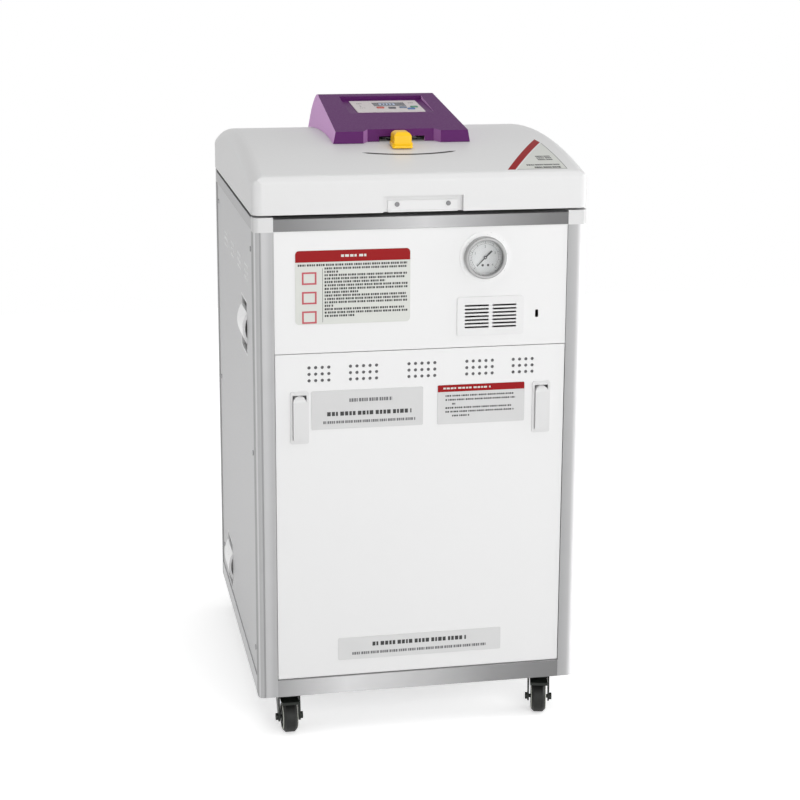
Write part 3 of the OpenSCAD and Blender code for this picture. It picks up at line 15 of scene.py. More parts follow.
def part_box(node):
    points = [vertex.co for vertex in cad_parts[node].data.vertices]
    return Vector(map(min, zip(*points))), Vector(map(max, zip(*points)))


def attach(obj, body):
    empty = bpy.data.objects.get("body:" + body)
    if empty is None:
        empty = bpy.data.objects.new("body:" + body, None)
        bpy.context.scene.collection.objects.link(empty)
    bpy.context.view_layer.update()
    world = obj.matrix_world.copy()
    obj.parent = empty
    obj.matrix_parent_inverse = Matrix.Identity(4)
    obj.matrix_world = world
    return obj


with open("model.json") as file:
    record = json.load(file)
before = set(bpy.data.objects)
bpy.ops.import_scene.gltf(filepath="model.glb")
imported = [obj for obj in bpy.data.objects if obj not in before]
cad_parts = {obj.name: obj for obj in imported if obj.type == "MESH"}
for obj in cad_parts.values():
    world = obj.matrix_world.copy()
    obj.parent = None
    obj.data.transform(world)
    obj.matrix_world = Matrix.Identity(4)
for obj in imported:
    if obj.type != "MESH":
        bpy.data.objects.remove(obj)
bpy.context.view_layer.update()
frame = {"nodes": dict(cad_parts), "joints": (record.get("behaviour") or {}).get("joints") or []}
nodes = frame["nodes"]

# %% [markdown]
# ## Grain for all finishes
# A real painted or brushed surface is never one flat colour. A few noises bring that: a broad
# one shifts the colour a little, a fine one varies the gloss, and a third one lifts the surface
# as a bump. A noise that is stretched along one axis reads as brushed metal. All of them are
# placed by the object's own coordinates, so the grain stays on the part when it moves.

# %% Node helpers
NOISE_ROUGH, NOISE_LOW, NOISE_HIGH = 0.55, 0.3, 0.7
COLOUR_1, COLOUR_2, COLOUR_OUT = 6, 7, 2


def add(tree, kind, **inputs):
    node = tree.nodes.new(kind)
    for name, value in inputs.items():
        node.inputs[name.replace("_", " ")].default_value = value
    return node


def math_node(tree, operation, first, second):
    node = tree.nodes.new("ShaderNodeMath")
    node.operation = operation
    tree.links.new(first, node.inputs[0])
    tree.links.new(second, node.inputs[1])
    return node.outputs[0]


def noise(tree, coords, size, detail, stretch=(1, 1, 1)):
    mapping = add(tree, "ShaderNodeMapping", Scale=stretch)
    tree.links.new(coords, mapping.inputs["Vector"])
    tex = add(tree, "ShaderNodeTexNoise", Scale=size, Detail=detail, Roughness=NOISE_ROUGH)
    tree.links.new(mapping.outputs["Vector"], tex.inputs["Vector"])
    return tex.outputs["Fac"]


def spread(tree, value, low, high, start=NOISE_LOW, end=NOISE_HIGH):
    node = add(tree, "ShaderNodeMapRange", From_Min=start, From_Max=end, To_Min=low, To_Max=high)
    tree.links.new(value, node.inputs["Value"])
    return node.outputs["Result"]


def blend_colours(tree, factor, first, second, way="MIX"):
    mix = tree.nodes.new("ShaderNodeMix")
    mix.data_type = "RGBA"
    mix.blend_type = way
    if isinstance(factor, bpy.types.NodeSocket):
        tree.links.new(factor, mix.inputs["Factor"])
    else:
        mix.inputs["Factor"].default_value = factor
    for socket, value in ((mix.inputs[COLOUR_1], first), (mix.inputs[COLOUR_2], second)):
        if isinstance(value, bpy.types.NodeSocket):
            tree.links.new(value, socket)
        else:
            socket.default_value = (*value, 1)
    return mix.outputs[COLOUR_OUT]


def grey(tone):
    return (tone, tone, tone)


print("node helpers ready")

# %% [markdown]
# ## Painted light along an edge
# Long bright metal has a sheen: it is light in one place and dark in another. A colour ramp
# along one axis of the object paints that sheen into the colour, and other painted highlights
# and shade as well. The stops are pairs of a place in metres and a tone.
# It can be kept to the faces at the front and back, and then the others get one plain tone.
# Which way a face looks is read from the object's own normal, so it holds in every pose.

# %% Tone ramp
PLAIN_TONE, FRONT_FROM, FRONT_TO = 0.85, 0.5, 0.7


def facing(tree, axis, start, end):
    split = tree.nodes.new("ShaderNodeSeparateXYZ")
    tree.links.new(tree.nodes.new("ShaderNodeTexCoord").outputs["Normal"], split.inputs[0])
    along = math_node(tree, "ABSOLUTE", split.outputs[axis], split.outputs[axis])
    return spread(tree, along, 0, 1, start, end)


# Painted light: a ramp of tone that stands in for highlights, sheen and shade.
def tone_along(tree, coords, axis, stops, front_only=False):
    split = tree.nodes.new("ShaderNodeSeparateXYZ")
    tree.links.new(coords, split.inputs[0])
    start, end = stops[0][0], stops[-1][0]
    share = spread(tree, split.outputs[axis], 0, 1, start, end)
    ramp = tree.nodes.new("ShaderNodeValToRGB")
    knots = ramp.color_ramp.elements
    while len(knots) < len(stops):
        knots.new(0.5)
    for knot, (place, _) in zip(knots, stops):
        knot.position = (place - start) / (end - start)
    for knot, (_, tone) in zip(knots, stops):
        knot.color = (*grey(tone), 1)
    tree.links.new(share, ramp.inputs["Fac"])
    if not front_only:
        return ramp.outputs["Color"]
    frontal = facing(tree, "Y", FRONT_FROM, FRONT_TO)
    return blend_colours(tree, frontal, grey(PLAIN_TONE), ramp.outputs["Color"])


print("tone ramp ready")

# %% [markdown]
# ## The recipe
# With these helpers a finish is one call: a colour, a gloss, how much of a metal it is, and the
# size of its grain. The recipe puts the broad noise into the colour, a fine one into the gloss
# and the finest into the bump, whose lift is in metres. Values that are the same all over go
# straight to the shader.

# %% Material helper
GRAIN_LIFT, GLOSS_SHARE, LEAST_ROUGH, COAT_ROUGH = 0.0004, 0.25, 0.02, 0.12
BROAD_DETAIL, FINE_DETAIL = 4.0, 2.0


def raise_grain(tree, shader, grain, strength):
    lift = add(tree, "ShaderNodeBump", Strength=strength, Distance=GRAIN_LIFT)
    tree.links.new(grain, lift.inputs["Height"])
    tree.links.new(lift.outputs["Normal"], shader.inputs["Normal"])


def material(name, colour, rough=0.4, metal=0.0, tint=0.05, tint_size=7.0, vary=0.06,
             bump=0.05, bump_size=600.0, stretch=(1, 1, 1), coat=0.0, specular=0.5, tone=None):
    mat = bpy.data.materials.new(name)
    mat.use_nodes = True
    tree = mat.node_tree
    shader = tree.nodes["Principled BSDF"]
    coords = tree.nodes.new("ShaderNodeTexCoord").outputs["Object"]
    broad = noise(tree, coords, tint_size, BROAD_DETAIL)
    dark = [c * (1 - tint) for c in colour]
    light = [min(1.0, c * (1 + tint)) for c in colour]
    base = blend_colours(tree, broad, dark, light)
    # A ramp of tone, where given, multiplies the colour: painted highlights, sheen and shade.
    if tone:
        base = blend_colours(tree, 1.0, base, tone_along(tree, coords, *tone), "MULTIPLY")
    tree.links.new(base, shader.inputs["Base Color"])
    fine = noise(tree, coords, bump_size * GLOSS_SHARE, FINE_DETAIL, stretch)
    gloss = spread(tree, fine, max(LEAST_ROUGH, rough - vary), rough + vary)
    tree.links.new(gloss, shader.inputs["Roughness"])
    raise_grain(tree, shader, noise(tree, coords, bump_size, FINE_DETAIL, stretch), bump)
    shader.inputs["Metallic"].default_value = metal
    shader.inputs["Specular IOR Level"].default_value = specular
    shader.inputs["Coat Weight"].default_value = coat
    shader.inputs["Coat Roughness"].default_value = COAT_ROUGH
    return mat


def paint(mat, *names):
    for name in names:
        slots = nodes[name].material_slots
        if not slots:
            nodes[name].data.materials.append(mat)
        for slot in slots:
            slot.material = mat


print("recipe ready")

# %% [markdown]
# ## Powder-coated panels
# The front, the door, the sides and the back are sheet steel with a white powder coat. Its
# skin is like fine orange peel, so it gets a soft bump and a middling gloss. The sides get a
# darker grey copy of that coat, which is painted shade, so the white grips stand out from them.
# The walls of their holes are painted near white, a painted highlight.

# %% Panels
coat_white = material("powder_white", grey(0.785), rough=0.42, tint=0.012, tint_size=3,
                      vary=0.05, bump=0.08, bump_size=900)
# The sides' coat is the white coat painted darker: painted shade.
side_coat_painted_shade = material("powder_white_painted_shade", (0.61, 0.61, 0.615), rough=0.42, tint=0.012, tint_size=3,
                     vary=0.05, bump=0.08, bump_size=900, specular=0.2)
HOLE_WALL_HIGHLIGHT, SIDE_FROM, SIDE_TO = 0.95, 0.3, 0.6


def skin_of(mat):
    shader = mat.node_tree.nodes["Principled BSDF"]
    return mat.node_tree, shader, shader.inputs["Base Color"].links[0].from_socket


# Faces that don't look sideways, the walls of the holes, are painted pale: a painted highlight.
tree, shader, skin = skin_of(side_coat_painted_shade)
outward = facing(tree, "X", SIDE_FROM, SIDE_TO)
tree.links.new(blend_colours(tree, outward, grey(HOLE_WALL_HIGHLIGHT), skin), shader.inputs["Base Color"])
paint(coat_white, "front_panel", "door", "back_panel")
paint(side_coat_painted_shade, "side_panel_left", "side_panel_right")
print("panels painted")

# %% [markdown]
# ## Posts, rails and caps
# The corner posts and the rails are anodised extrusions, so their grain runs along them. Full
# metal would mirror the studio too sharply, and the anodised skin is half dull, so the metal
# value stays low. Stops of tone paint light into their colour: painted highlights on the posts'
# beads and on the right post's rounded edge, painted shade in their grooves and on the left
# post's side, and a painted sheen on the rails, light near the middle and dark at the ends. The
# caps are brighter, and the screws are plain dull steel.

# %% Painted light on the posts and rails
along_z, along_x = (1, 1, 0.02), (0.02, 1, 1)
# Painted highlights and painted shade across the posts.
post_painted_light = [(-0.2550, 0.60), (-0.2547, 0.62), (-0.2541, 1.40), (-0.2522, 1.35), (-0.2510, 0.86),
              (-0.2465, 0.84), (-0.2458, 0.55), (-0.2442, 0.55), (-0.2435, 0.98), (-0.2380, 1.0),
              (-0.2300, 0.84), (0.2270, 0.74), (0.2340, 0.80), (0.2390, 0.88), (0.2425, 1.20),
              (0.2450, 1.80), (0.2532, 1.90), (0.2549, 0.95)]
# Painted sheen along the rails.
top_rail_painted_sheen = [(-0.24, 0.30), (-0.205, 0.35), (-0.117, 0.58), (0.005, 1.0), (0.115, 0.52),
             (0.195, 0.28), (0.24, 0.24)]
bottom_rail_painted_sheen = [(-0.24, 0.47), (-0.213, 0.55), (-0.117, 1.0), (0.010, 0.72), (0.118, 0.40),
                (0.19, 0.30), (0.24, 0.28)]
print("stops of tone:", len(post_painted_light), len(top_rail_painted_sheen), len(bottom_rail_painted_sheen))

# %% Metals of the cabinet
post_metal = material("post_anodised", (0.50, 0.50, 0.505), rough=0.40, metal=0.12, tint=0.03,
                      tint_size=30, vary=0.05, bump=0.10, bump_size=900, stretch=along_z,
                      specular=0.3, tone=("X", post_painted_light))
rail_top = material("rail_top_anodised", (0.44, 0.44, 0.445), rough=0.40, metal=0.3, tint=0.03,
                    tint_size=30, vary=0.05, bump=0.12, bump_size=900, stretch=along_x,
                    tone=("X", top_rail_painted_sheen, True))
rail_bottom = material("rail_bottom_anodised", (0.62, 0.62, 0.625), rough=0.40, metal=0.3,
                       tint=0.03, tint_size=30, vary=0.05, bump=0.12, bump_size=900,
                       stretch=along_x, tone=("X", bottom_rail_painted_sheen, True))
cap_metal = material("cap_bright", grey(0.60), rough=0.48, metal=0.15, tint=0.01,
                     tint_size=20, vary=0.03, bump=0.02, bump_size=700)
steel_dull = material("steel_dull", (0.42, 0.42, 0.43), rough=0.42, metal=0.7, tint=0.06,
                      tint_size=80, vary=0.08, bump=0.12, bump_size=900)
steel_dark = material("steel_dark", (0.16, 0.16, 0.165), rough=0.42, metal=0.6, tint=0.08,
                      tint_size=200, vary=0.08, bump=0.12, bump_size=1500)
paint(post_metal, "corner_posts")
paint(rail_top, "top_deck")
paint(rail_bottom, "base_tray")
paint(cap_metal, "corner_caps")
paint(steel_dull, "panel_screws", "hinge_brackets", "heater")
paint(steel_dark, "pull_screws")
print("posts, rails and caps painted")

# %% [markdown]
# ## White mouldings
# The grips at the sides, the vent grille and the pull plate are white plastic, smoother than
# the powder coat, so they get a finer bump and a thin coat. The inside of each grip's cup lies
# in the dark of the cabinet, so a ramp from the side's face inward paints shade into its colour.

# %% Mouldings
# Painted shade inside the grips' cups.
cup_painted_shade = [(0.2300, 0.25), (0.2465, 0.40), (0.2515, 1.0), (0.2600, 1.0)]
grip_painted_shade = [(-x, tone) for x, tone in reversed(cup_painted_shade)] + cup_painted_shade
moulded = material("moulded_white", grey(0.75), rough=0.34, tint=0.012, tint_size=20,
                   vary=0.05, bump=0.04, bump_size=1200, coat=0.05)
grip_white = material("grip_white", grey(0.94), rough=0.32, tint=0.015, tint_size=20,
                      vary=0.05, bump=0.04, bump_size=1200, coat=0.1, tone=("X", grip_painted_shade))
paint(moulded, "vent_grille", "pull_plate")
paint(grip_white, "grips_left", "grips_right")
print("mouldings painted")

# %% [markdown]
# ## Chamber
# Inside stands the pressure chamber, a deep drawn pot of brushed stainless steel. Its baskets
# and the pressure lid under the cover are the same steel. They are true metal, so most of
# what they show is reflection.

# %% Chamber steel
round_the_pot = (0.05, 0.05, 1)
steel_brushed = material("steel_brushed", (0.56, 0.56, 0.57), rough=0.3, metal=1.0, tint=0.05,
                         tint_size=10, vary=0.1, bump=0.07, bump_size=500,
                         stretch=round_the_pot)
brass = material("brass", (0.72, 0.48, 0.18), rough=0.3, metal=1.0, tint=0.08, tint_size=60,
                 vary=0.08, bump=0.1, bump_size=900)
seal_rubber = material("seal_rubber", (0.42, 0.07, 0.05), rough=0.6, tint=0.08, tint_size=60,
                       vary=0.08, bump=0.1, bump_size=900)
bottle_plastic = material("bottle_plastic", (0.70, 0.73, 0.75), rough=0.35, tint=0.03,
                          tint_size=20, vary=0.06, bump=0.05, bump_size=700)
paint(steel_brushed, "chamber", "pressure_lid", "basket_lower", "basket_upper")
paint(brass, "safety_valve", "pipes", "drain_valve")
paint(seal_rubber, "lid_seal")
paint(bottle_plastic, "condensate_bottle")
print("chamber painted")

# %% [markdown]
# ## Lid, housing and knob
# The lid cover is a moulded off-white shell, a shade greyer than the panels. The housing on
# it is purple plastic with a satin skin. A low specular value keeps its purple deep: with the
# usual value the white studio would lie over it like a veil. Its two end walls are painted a
# paler purple, a painted sheen, and the shader's own sheen lies along them too; the surface's
# own normal picks them out. The lever's knob is warm yellow.

# %% Lid and housing
lid_skin = material("lid_skin", grey(0.72), rough=0.40, tint=0.012, tint_size=4,
                    vary=0.05, bump=0.04, bump_size=1100, specular=0.4)
purple = material("housing_purple", (0.104, 0.015, 0.122), rough=0.38, tint=0.05, tint_size=14,
                  vary=0.05, bump=0.08, bump_size=1400, specular=0.10)
END_FROM, END_TO = 0.60, 0.92
END_PAINTED_SHEEN, END_SHEEN = (0.30, 0.12, 0.34), (1.0, 0.60, 1.0, 1)
tree, shader, skin = skin_of(purple)
end_wall = facing(tree, "X", END_FROM, END_TO)
# Painted sheen: the end walls get a paler colour, and the shader's sheen as well.
tree.links.new(blend_colours(tree, end_wall, skin, END_PAINTED_SHEEN), shader.inputs["Base Color"])
tree.links.new(end_wall, shader.inputs["Sheen Weight"])
shader.inputs["Sheen Tint"].default_value = END_SHEEN
yellow = material("knob_yellow", (0.98, 0.56, 0.004), rough=0.34, tint=0.04, tint_size=60,
                  vary=0.05, bump=0.04, bump_size=1500, specular=0.3)
film = material("overlay_film", (0.64, 0.59, 0.59), rough=0.45, tint=0.03, tint_size=50,
                vary=0.05, bump=0.08, bump_size=2500)
paint(lid_skin, "lid_cover")
paint(steel_dull, "lid_frame", "lock_ring")
paint(purple, "control_housing")
paint(yellow, "lock_knob")
paint(film, "control_overlay")
print("lid and housing painted")

# %% [markdown]
# ## Latches, gauge and casters
# The latches are enamelled like the door. The gauge's case is pale steel that turns dark
# towards the glass, and its off-white dial is painted darker towards the right, a painted shade
# of the ring. The caster forks and brake pedals are blackened steel, which still has a little
# grain. The five keys are small moulded caps, each in its own colour.

# %% Small parts
case_tones = [(-0.3025, 0.50), (-0.2990, 0.34), (-0.2912, 0.40), (-0.2900, 1.0), (-0.2885, 1.0)]
# Painted shade across the dial, darker at the right.
dial_painted_shade = [(0.068, 1.0), (0.084, 0.93), (0.098, 0.84), (0.112, 0.63), (0.122, 0.50)]
latch_white = material("latch_white", grey(0.68), rough=0.38, tint=0.02, tint_size=30,
                       vary=0.05, bump=0.05, bump_size=1200)
lever_steel = material("lever_steel", grey(0.56), rough=0.30, metal=0.5, tint=0.03,
                       tint_size=60, vary=0.04, bump=0.02, bump_size=900)
gauge_steel = material("gauge_steel", grey(0.76), rough=0.30, metal=0.2, tint=0.01,
                       tint_size=20, vary=0.03, bump=0.01, bump_size=900, tone=("Y", case_tones))
dial_white = material("dial_face", grey(0.84), rough=0.5, tint=0.02, tint_size=60,
                      vary=0.04, bump=0.02, bump_size=1500, tone=("X", dial_painted_shade))
black_steel = material("black_steel", (0.012, 0.015, 0.012), rough=0.40, metal=0.1, tint=0.2,
                       tint_size=60, vary=0.1, bump=0.15, bump_size=900, specular=0.3)
paint(latch_white, "latch_boxes", "latch_paddle_left", "latch_paddle_right")
paint(lever_steel, "lock_lever")
paint(gauge_steel, "gauge_case")
paint(dial_white, "gauge_dial")
paint(black_steel, "caster_plates", "cable_gland", "pedal_left", "pedal_right",
      "fork_front_left", "fork_front_right", "fork_rear_left", "fork_rear_right")
print("small parts painted")

# %% Keys
key_colours = {"key_red": (0.50, 0.05, 0.03), "key_dark": (0.05, 0.05, 0.07),
               "key_grey": (0.12, 0.17, 0.26), "key_green": (0.04, 0.22, 0.12),
               "key_blue": (0.05, 0.14, 0.36)}
for key, colour in key_colours.items():
    paint(material(key, colour, rough=0.4, tint=0.06, tint_size=200, vary=0.05, bump=0.05,
                   bump_size=2500), key)
print("keys painted:", len(key_colours))

# %% [markdown]
# ## Printing inks and plate films
# The plates are thin films, silver on the door and off-white above it. Inks are almost matt, and
# they differ only in their colour and in how much it wavers.

# %% Inks
def ink(name, colour, rough, tint, tint_size):
    return material(name, colour, rough=rough, tint=tint, tint_size=tint_size, vary=0.05,
                    bump=0.03, bump_size=2000, specular=0.2)


ink_dark = ink("ink_dark", (0.03, 0.03, 0.035), 0.5, 0.15, 200)
ink_grey = ink("ink_grey", grey(0.055), 0.6, 0.15, 200)
ink_pale = ink("ink_pale", (0.16, 0.16, 0.165), 0.6, 0.12, 200)
ink_red = ink("ink_red", (0.29, 0.002, 0.004), 0.5, 0.05, 80)
ink_rose = ink("ink_rose", (0.50, 0.10, 0.12), 0.5, 0.05, 80)
print("inks ready")

# %% Films
# Painted light: the silver film is lighter low on the door and darker higher up.
silver_painted_light = [(0.10, 1.04), (0.20, 1.04), (0.45, 0.98), (0.60, 0.96)]
film_pale = material("film_pale", (0.64, 0.65, 0.615), rough=0.45, tint=0.015, tint_size=40,
                     vary=0.05, bump=0.04, bump_size=2000)
film_silver = material("film_silver", grey(0.60), rough=0.42, metal=0.1, tint=0.02,
                       tint_size=40, vary=0.05, bump=0.06, bump_size=1500, stretch=along_x,
                       tone=("Z", silver_painted_light))
paint(ink_dark, "gauge_needle")
paint(film_pale, "notice_plate")
paint(film_silver, "door_plates")
print("films and needle painted")

# %% [markdown]
# ## Glass and display
# The gauge glass is clear, with a faint smear in its gloss. Its pane has a real thickness in the
# model, so plain transmission is right for it. The display is a dark pane with a lit field.

# %% Glass and display
SMEAR_SIZE, SMEAR_DETAIL, GLASS_BEND = 90, 3.0, 1.45
CLEAREST, DULLEST = 0.02, 0.08
GREENISH, CLEAR = (0.95, 0.97, 0.97), (1, 1, 1)
glass = bpy.data.materials.new("gauge_glass")
glass.use_nodes = True
tree = glass.node_tree
shader = tree.nodes["Principled BSDF"]
coords = tree.nodes.new("ShaderNodeTexCoord").outputs["Object"]
smear = noise(tree, coords, SMEAR_SIZE, SMEAR_DETAIL)
tree.links.new(spread(tree, smear, CLEAREST, DULLEST), shader.inputs["Roughness"])
tree.links.new(blend_colours(tree, smear, GREENISH, CLEAR), shader.inputs["Base Color"])
shader.inputs["Transmission Weight"].default_value = 1.0
shader.inputs["IOR"].default_value = GLASS_BEND
paint(glass, "gauge_glass")
pane = material("display_pane", (0.05, 0.055, 0.07), rough=0.25, tint=0.1, tint_size=60,
                vary=0.05, bump=0.02, bump_size=900, coat=0.2)
lit = material("display_lit", (0.46, 0.55, 0.74), rough=0.3, tint=0.05, tint_size=300,
               vary=0.04, bump=0.02, bump_size=900)
paint(pane, "display")
print("glass and display painted")

# %% [markdown]
# ## Wheels
# Each wheel is black rubber, and a pale ring shows on both its flanks, close to the tread. The
# ring is painted by the distance from the axle, which the wheel's own joint gives, so that one
# recipe fits all four.

# %% Wheels
RING_IN, RING_OUT, RING_EDGE = 0.0172, 0.0210, 0.0006
FLANK_FROM, FLANK_TO = 0.0104, 0.0110
TYRE = ((0.010, 0.011, 0.010), (0.022, 0.023, 0.021))
RING = ((0.34, 0.35, 0.31), (0.46, 0.47, 0.42))
SPECK_SIZE, SPECK_DETAIL, SPECK_BUMP = 260, 3.0, 0.25
TYRE_SMOOTH, TYRE_ROUGH, TYRE_SPECULAR = 0.42, 0.62, 0.25


def wheel_material(name, centre, axis):
    mat = bpy.data.materials.new(name)
    mat.use_nodes = True
    tree = mat.node_tree
    shader = tree.nodes["Principled BSDF"]
    coords = tree.nodes.new("ShaderNodeTexCoord").outputs["Object"]

    def vector_step(operation, vector, constant):
        node = tree.nodes.new("ShaderNodeVectorMath")
        node.operation = operation
        node.inputs[1].default_value = constant
        tree.links.new(vector, node.inputs[0])
        return node

    arm = vector_step("SUBTRACT", coords, centre).outputs[0]
    around = vector_step("CROSS_PRODUCT", arm, axis).outputs[0]
    radius = vector_step("LENGTH", around, (0, 0, 0)).outputs["Value"]
    off = vector_step("DOT_PRODUCT", arm, axis).outputs["Value"]
    distance = math_node(tree, "ABSOLUTE", off, off)
    inside = spread(tree, radius, 1, 0, RING_OUT, RING_OUT + RING_EDGE)
    outside = spread(tree, radius, 0, 1, RING_IN, RING_IN + RING_EDGE)
    flank = spread(tree, distance, 0, 1, FLANK_FROM, FLANK_TO)
    on_ring = math_node(tree, "MULTIPLY", math_node(tree, "MULTIPLY", inside, outside), flank)
    speck = noise(tree, coords, SPECK_SIZE, SPECK_DETAIL)
    rubber = blend_colours(tree, on_ring, blend_colours(tree, speck, *TYRE),
                           blend_colours(tree, speck, *RING))
    tree.links.new(rubber, shader.inputs["Base Color"])
    tree.links.new(spread(tree, speck, TYRE_SMOOTH, TYRE_ROUGH), shader.inputs["Roughness"])
    raise_grain(tree, shader, speck, SPECK_BUMP)
    shader.inputs["Specular IOR Level"].default_value = TYRE_SPECULAR
    return mat


for joint in frame["joints"]:
    if joint["name"].startswith("roll_"):
        wheel = joint["name"].replace("roll_", "wheel_")
        paint(wheel_material(wheel, joint["pos_m"], joint["axis"]), wheel)
        print(wheel, "centre", [round(v, 4) for v in joint["pos_m"]])

# %% [markdown]
# ## Marks as thin shapes
# Print could be a picture laid on the surface, but then it would need an image file. Here the
# marks are thin raised shapes. A helper takes outlines in millimetres in the plate's own plane,
# counted against the clock, and makes one mesh of them that stands a little proud.

# %% Mark helper
MM = 0.001
SUNK, THIN_PRINT, PRINT, THICK_PRINT = 0.05, 0.04, 0.06, 0.12


def marks(name, outlines, place, mat, body, proud=PRINT):
    verts, faces = [], []
    for outline in outlines:
        n, base = len(outline), len(verts)
        for level in (-SUNK, proud):
            verts += [place(u, v, level) for u, v in outline]
        faces.append([base + n + i for i in range(n)])
        faces.append([base + n - 1 - i for i in range(n)])
        faces += [[base + i, base + (i + 1) % n, base + n + (i + 1) % n, base + n + i]
                  for i in range(n)]
    mesh = bpy.data.meshes.new(name)
    mesh.from_pydata(verts, [], faces)
    mesh.materials.append(mat)
    mesh.update()
    obj = bpy.data.objects.new(name, mesh)
    bpy.context.scene.collection.objects.link(obj)
    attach(obj, body)


print("print stands proud in mm:", THIN_PRINT, PRINT, THICK_PRINT)

# %% Outline helpers
CORNER_STEPS, DISC_STEPS = 6, 24


def rect(u, v, w, h):
    return [(u - w / 2, v - h / 2), (u + w / 2, v - h / 2),
            (u + w / 2, v + h / 2), (u - w / 2, v + h / 2)]


def rounded(u, v, w, h, r, corners=(1, 1, 1, 1)):
    points = []
    for k, (sx, sy) in enumerate(((1, 1), (-1, 1), (-1, -1), (1, -1))):
        if not corners[k]:
            points.append((u + sx * w / 2, v + sy * h / 2))
            continue
        for i in range(CORNER_STEPS + 1):
            a = math.radians(90 * k + 90 * i / CORNER_STEPS)
            points.append((u + sx * (w / 2 - r) + r * math.cos(a),
                           v + sy * (h / 2 - r) + r * math.sin(a)))
    return points


def disc(u, v, r):
    turns = [math.tau * i / DISC_STEPS for i in range(DISC_STEPS)]
    return [(u + r * math.cos(a), v + r * math.sin(a)) for a in turns]


def frame_lines(u, v, w, h, t):
    return [rect(u, v + h / 2 - t / 2, w, t), rect(u, v - h / 2 + t / 2, w, t),
            rect(u - w / 2 + t / 2, v, t, h - 2 * t), rect(u + w / 2 - t / 2, v, t, h - 2 * t)]


def on_front(y_mm):
    return lambda u, v, level: (u * MM, (y_mm - level) * MM, v * MM)


def raised(place, by):
    return lambda u, v, level: place(u, v, level + by)


def box_mm(name):
    lo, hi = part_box(name)
    return [1000 * v for v in lo], [1000 * v for v in hi]


print("points in a round corner:", CORNER_STEPS + 1, "and in a disc:", DISC_STEPS)

# %% [markdown]
# ## Sheets behind the vents
# A thin sheet lies close behind the vent holes and sets what is seen through them. In the door
# it is grey, a painted shade for the dim inside. At the sides it is pale and glows faintly,
# painted light with no lamp behind it, so that their holes read as soft light dots and not as
# black ones.

# %% Screen finishes
# Painted glow: the pale sheets at the sides shine faintly with no lamp behind them.
SCREEN_PAINTED_GLOW = 0.30
# The grey sheet in the door is painted shade for its holes.
grey_sheet_painted_shade = material("grey_sheet_painted_shade", (0.16, 0.16, 0.165), rough=0.7, tint=0.15, tint_size=300,
                       vary=0.05, bump=0.3, bump_size=1500, specular=0.2)
pale_sheet_painted_light = material("pale_sheet_painted_light", grey(0.86), rough=0.7, tint=0.06, tint_size=300,
                       vary=0.05, bump=0.3, bump_size=1500, specular=0.2)
_, shader, _ = skin_of(pale_sheet_painted_light)
shader.inputs["Emission Strength"].default_value = SCREEN_PAINTED_GLOW
print("screen finishes ready")

# %% Vent screens
SCREEN_BEHIND, SCREEN_T, SCREEN_H = 2.4, 0.4, 34
DOOR_SCREEN_W, DOOR_SCREEN_DOWN = 416, 31.5
SIDE_SCREEN_W, SIDE_SCREEN_DOWN, SIDE_SCREEN_AHEAD = 366, 78.5, 26
door_y, side_x = box_mm("door")[0][1], box_mm("side_panel_right")[1][0]
door_top, side_top = box_mm("door")[1][2], box_mm("side_panel_right")[1][2]


def on_left(u, v, level):
    return ((-side_x + SCREEN_BEHIND - level) * MM, -u * MM, v * MM)


def on_right(u, v, level):
    return ((side_x - SCREEN_BEHIND + level) * MM, u * MM, v * MM)


marks("door_vent_shade_sheet", [rect(0, door_top - DOOR_SCREEN_DOWN, DOOR_SCREEN_W, SCREEN_H)],
      on_front(door_y + SCREEN_BEHIND), grey_sheet_painted_shade, "door", SCREEN_T)
for name, ahead, place in (("left_vent_glow_sheet", SIDE_SCREEN_AHEAD, on_left),
                           ("right_vent_glow_sheet", -SIDE_SCREEN_AHEAD, on_right)):
    marks(name, [rect(ahead, side_top - SIDE_SCREEN_DOWN, SIDE_SCREEN_W, SCREEN_H)], place,
          pale_sheet_painted_light, "cabinet", SCREEN_T)
print("door front in mm:", round(door_y, 1), "side face in mm:", round(side_x, 1))

# %% [markdown]
# ## Rows of small print
# Small print reads as rows of short dark dashes from where one stands. The dashes here are
# plain bars with no letters. Their lengths follow a fixed pattern, so each run gives the same
# plate. A row is told by its left end, length, middle height, bar height, the growth of the
# pattern and the dash that it starts with.

# %% Dashes
DASHES = (2.2, 2.9, 2.5, 1.6, 3.0, 2.6, 2.0)
SPACES = (0.8, 0.9, 0.8, 1.9)
SHORTEST = 0.4


def dash_row(left, width, v, height, grow=1.0, start=0):
    row, u, k = [], left, start
    while u < left + width:
        dash = min(DASHES[k % len(DASHES)] * grow, left + width - u)
        if dash > SHORTEST:
            row.append(rect(u + dash / 2, v, dash, height))
        u += dash + SPACES[k % len(SPACES)] * grow
        k += 1
    return row


def dash_rows(*table):
    return [bar for line in table for bar in dash_row(*line)]


print("dashes in a row of 100 mm:", len(dash_row(0, 100, 0, 1)))

# %% [markdown]
# ## Notice plate
# The large plate above the door has a red band at its head, a full row of print under it, a
# column at the left and fifteen rows beside a thin rule. The column carries three plain
# outlined squares. Everything is placed from the plate's own corners, so it stays on the plate.

